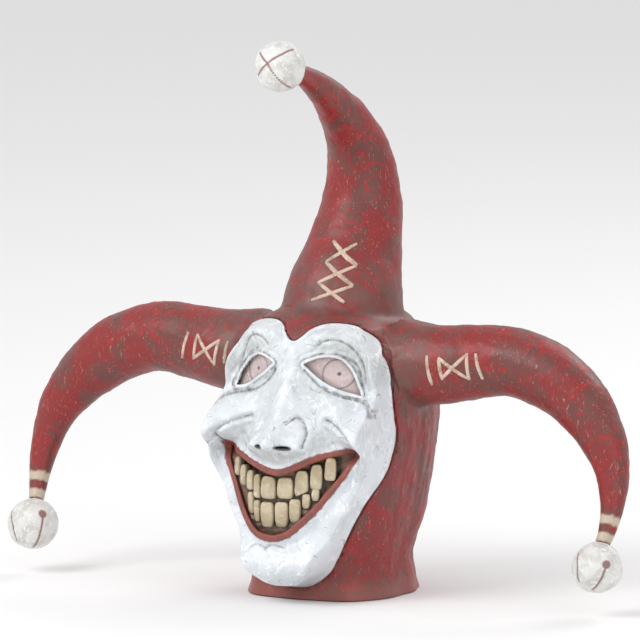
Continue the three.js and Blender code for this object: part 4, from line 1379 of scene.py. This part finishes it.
@dataclass
class Studio:
    """A pale floor and backdrop, soft lights, and the camera at the photograph's angle."""

    head: HeadForm
    away: float = 30
    picture_mm: float = 640
    centre_right: float = -17
    centre_up: float = 268

    def build(self) -> None:
        """Build the stage."""
        self.camera()
        self.floor()
        self.lights()

    def camera(self) -> None:
        """Make the camera, far off with a long lens."""
        right, up, back = view_axes()
        data = bpy.data.cameras.new("camera")
        sensor = data.sensor_width
        data.lens = sensor * self.away / (self.picture_mm * MM)
        data.clip_end = self.away * 4
        camera = bpy.data.objects.new("camera", data)
        target = (right * self.centre_right + up * self.centre_up) * MM + Vector((0, self.head.shift * MM, 0))
        camera.location = target + back * self.away
        camera.rotation_euler = back.to_track_quat("Z", "Y").to_euler()
        bpy.context.scene.collection.objects.link(camera)
        bpy.context.scene.camera = camera

    def floor(self) -> None:
        """Make the floor, wide enough for every view."""
        bm = bmesh.new()
        bmesh.ops.create_grid(bm, x_segments=1, y_segments=1, size=30)
        plane = piece_from(bm, "floor")
        plane.location.z = -0.0005
        material = bpy.data.materials.new("pale_floor")
        material.use_nodes = True
        shader = material.node_tree.nodes["Principled BSDF"]
        shader.inputs["Base Color"].default_value = (0.86, 0.86, 0.86, 1)
        shader.inputs["Roughness"].default_value = 0.9
        plane.data.materials.append(material)

    def lights(self) -> None:
        """Make a large key from the upper left, a fill, a rim and a pale surrounding."""
        places = [
            ("key", (-1.1, -2.2, 2.3), 1.5, 46),
            ("fill", (2.4, -1.7, 1.1), 1.8, 14),
            ("rim", (0.6, 2.4, 2.2), 1.4, 22),
        ]
        for name, place, size, power in places:
            data = bpy.data.lights.new(name, "AREA")
            data.size = size
            data.energy = power
            light = bpy.data.objects.new(name, data)
            light.location = place
            aim = Vector((0, 0, 0.25)) - Vector(place)
            light.rotation_euler = aim.to_track_quat("-Z", "Y").to_euler()
            bpy.context.scene.collection.objects.link(light)
        world = bpy.data.worlds.new("pale_room")
        world.use_nodes = True
        world.node_tree.nodes["Background"].inputs["Color"].default_value = (1, 1, 1, 1)
        world.node_tree.nodes["Background"].inputs["Strength"].default_value = 0.8
        bpy.context.scene.world = world
        bpy.context.scene.view_settings.view_transform = "Standard"


def settle(piece: bpy.types.Object, head: HeadForm, slot: str, *nodes: str) -> None:
    """Move a piece's mesh into the part's frame, parent it to the root body, and hide the solids that it stands for."""
    piece.data.transform(Matrix.Translation((0, head.shift * MM, 0)))
    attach(piece, BODY)
    if nodes:
        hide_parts(*nodes)
    LOG.info("%s: %d vertices", piece.name, len(piece.data.vertices))


def main() -> None:
    """Build every piece in order, then the stage."""
    logging.basicConfig(level=logging.INFO, format="%(message)s")
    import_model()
    head = HeadForm()
    head.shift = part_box("cowl")[1].y / MM - head.back
    form = FaceForm(head)
    Studio(head).build()

    horns = [side_horn(Side.RIGHT, "right"), side_horn(Side.LEFT, "left"), top_horn()]
    # The red paint lays painted shade in brown round the horns' roots, a browner red towards the hem, and the cream
    # bands.
    red_paint = RED_LATEX.build([("root_shade", "#6A4741"), ("lower", "#8E5A50"), ("band", "#BFAF9C")])
    casting = RedCasting(head, form, horns).build(red_paint)
    skin = BVHTree.FromPolygons(
        [v.co.copy() for v in casting.data.vertices], [tuple(p.vertices) for p in casting.data.polygons]
    )
    settle(casting, head, "red_latex", "neck", "cowl", "horn_left", "horn_right", "horn_top")

    white_paint = WHITE_LATEX.build(
        [("shade", "#B4B7B0"), ("lip", "#86453B"), ("ink", "#57514F"), ("black", "#1C1917")]
    )
    settle(WhiteFace(form).build(white_paint), head, "white_latex", "face")

    eye_paint = EYE_LATEX.build([("iris", "#CDBBBB"), ("shade", "#8F817C"), ("ring", "#4E4444"), ("pupil", "#3A3233")])
    for side in Side:
        settle(Eye(form, side).build(eye_paint), head, "eye_pink", f"eye_{side.name.lower()}")

    mouth = Mouth(form)
    # The plate's near-black mask is painted shade round the teeth.
    gum_paint = GUM_LATEX.build([("corner", "#8C6C5E"), ("dark", "#2A2B1A")])
    settle(mouth.build_plate(gum_paint), head, "gum_brown", "mouth_plate")
    # The teeth's dark mask is painted shade on their sides and backs; the stain is the teeth's own colour.
    tooth_paint = TOOTH_LATEX.build([("stain", "#A0916C"), ("edge", "#3E3A26")])
    settle(mouth.build_row("upper_row", UPPER_TEETH, tooth_paint), head, "tooth_ivory", "teeth_upper")
    settle(mouth.build_row("lower_row", LOWER_TEETH, tooth_paint), head, "tooth_ivory", "teeth_lower")
    # The lip's dark brown is painted shade in the crease under the roll.
    lip_paint = LIP_LATEX.build([("fold", "#5A2F28")])
    settle(Roll(form, "lip_roll", form.mouth(), 3.5, 3.0, 0.3, 0.7).build(lip_paint), head, "white_latex")
    # The lids' grey is painted shade in the crease under each roll.
    lid_paint = WHITE_LATEX.build([("fold", "#6A6460")])
    for side in Side:
        lid = Roll(form, f"lid_roll_{side.name.lower()}", form.eye(side), 1.5, 1.6, 0.2, 1.0, (260, 12))
        settle(lid.build(lid_paint), head, "white_latex")

    ball_paint = BALL_LATEX.build([("mark", "#7B4038")])
    for horn in horns:
        settle(Ball(horn).build(ball_paint), head, "ball_white", f"ball_{horn.name}")
    cream_paint = CREAM_LATEX.build()
    for lace in laces():
        settle(lace.build(skin, cream_paint), head, "red_latex")


if __name__ == "__main__":
    main()
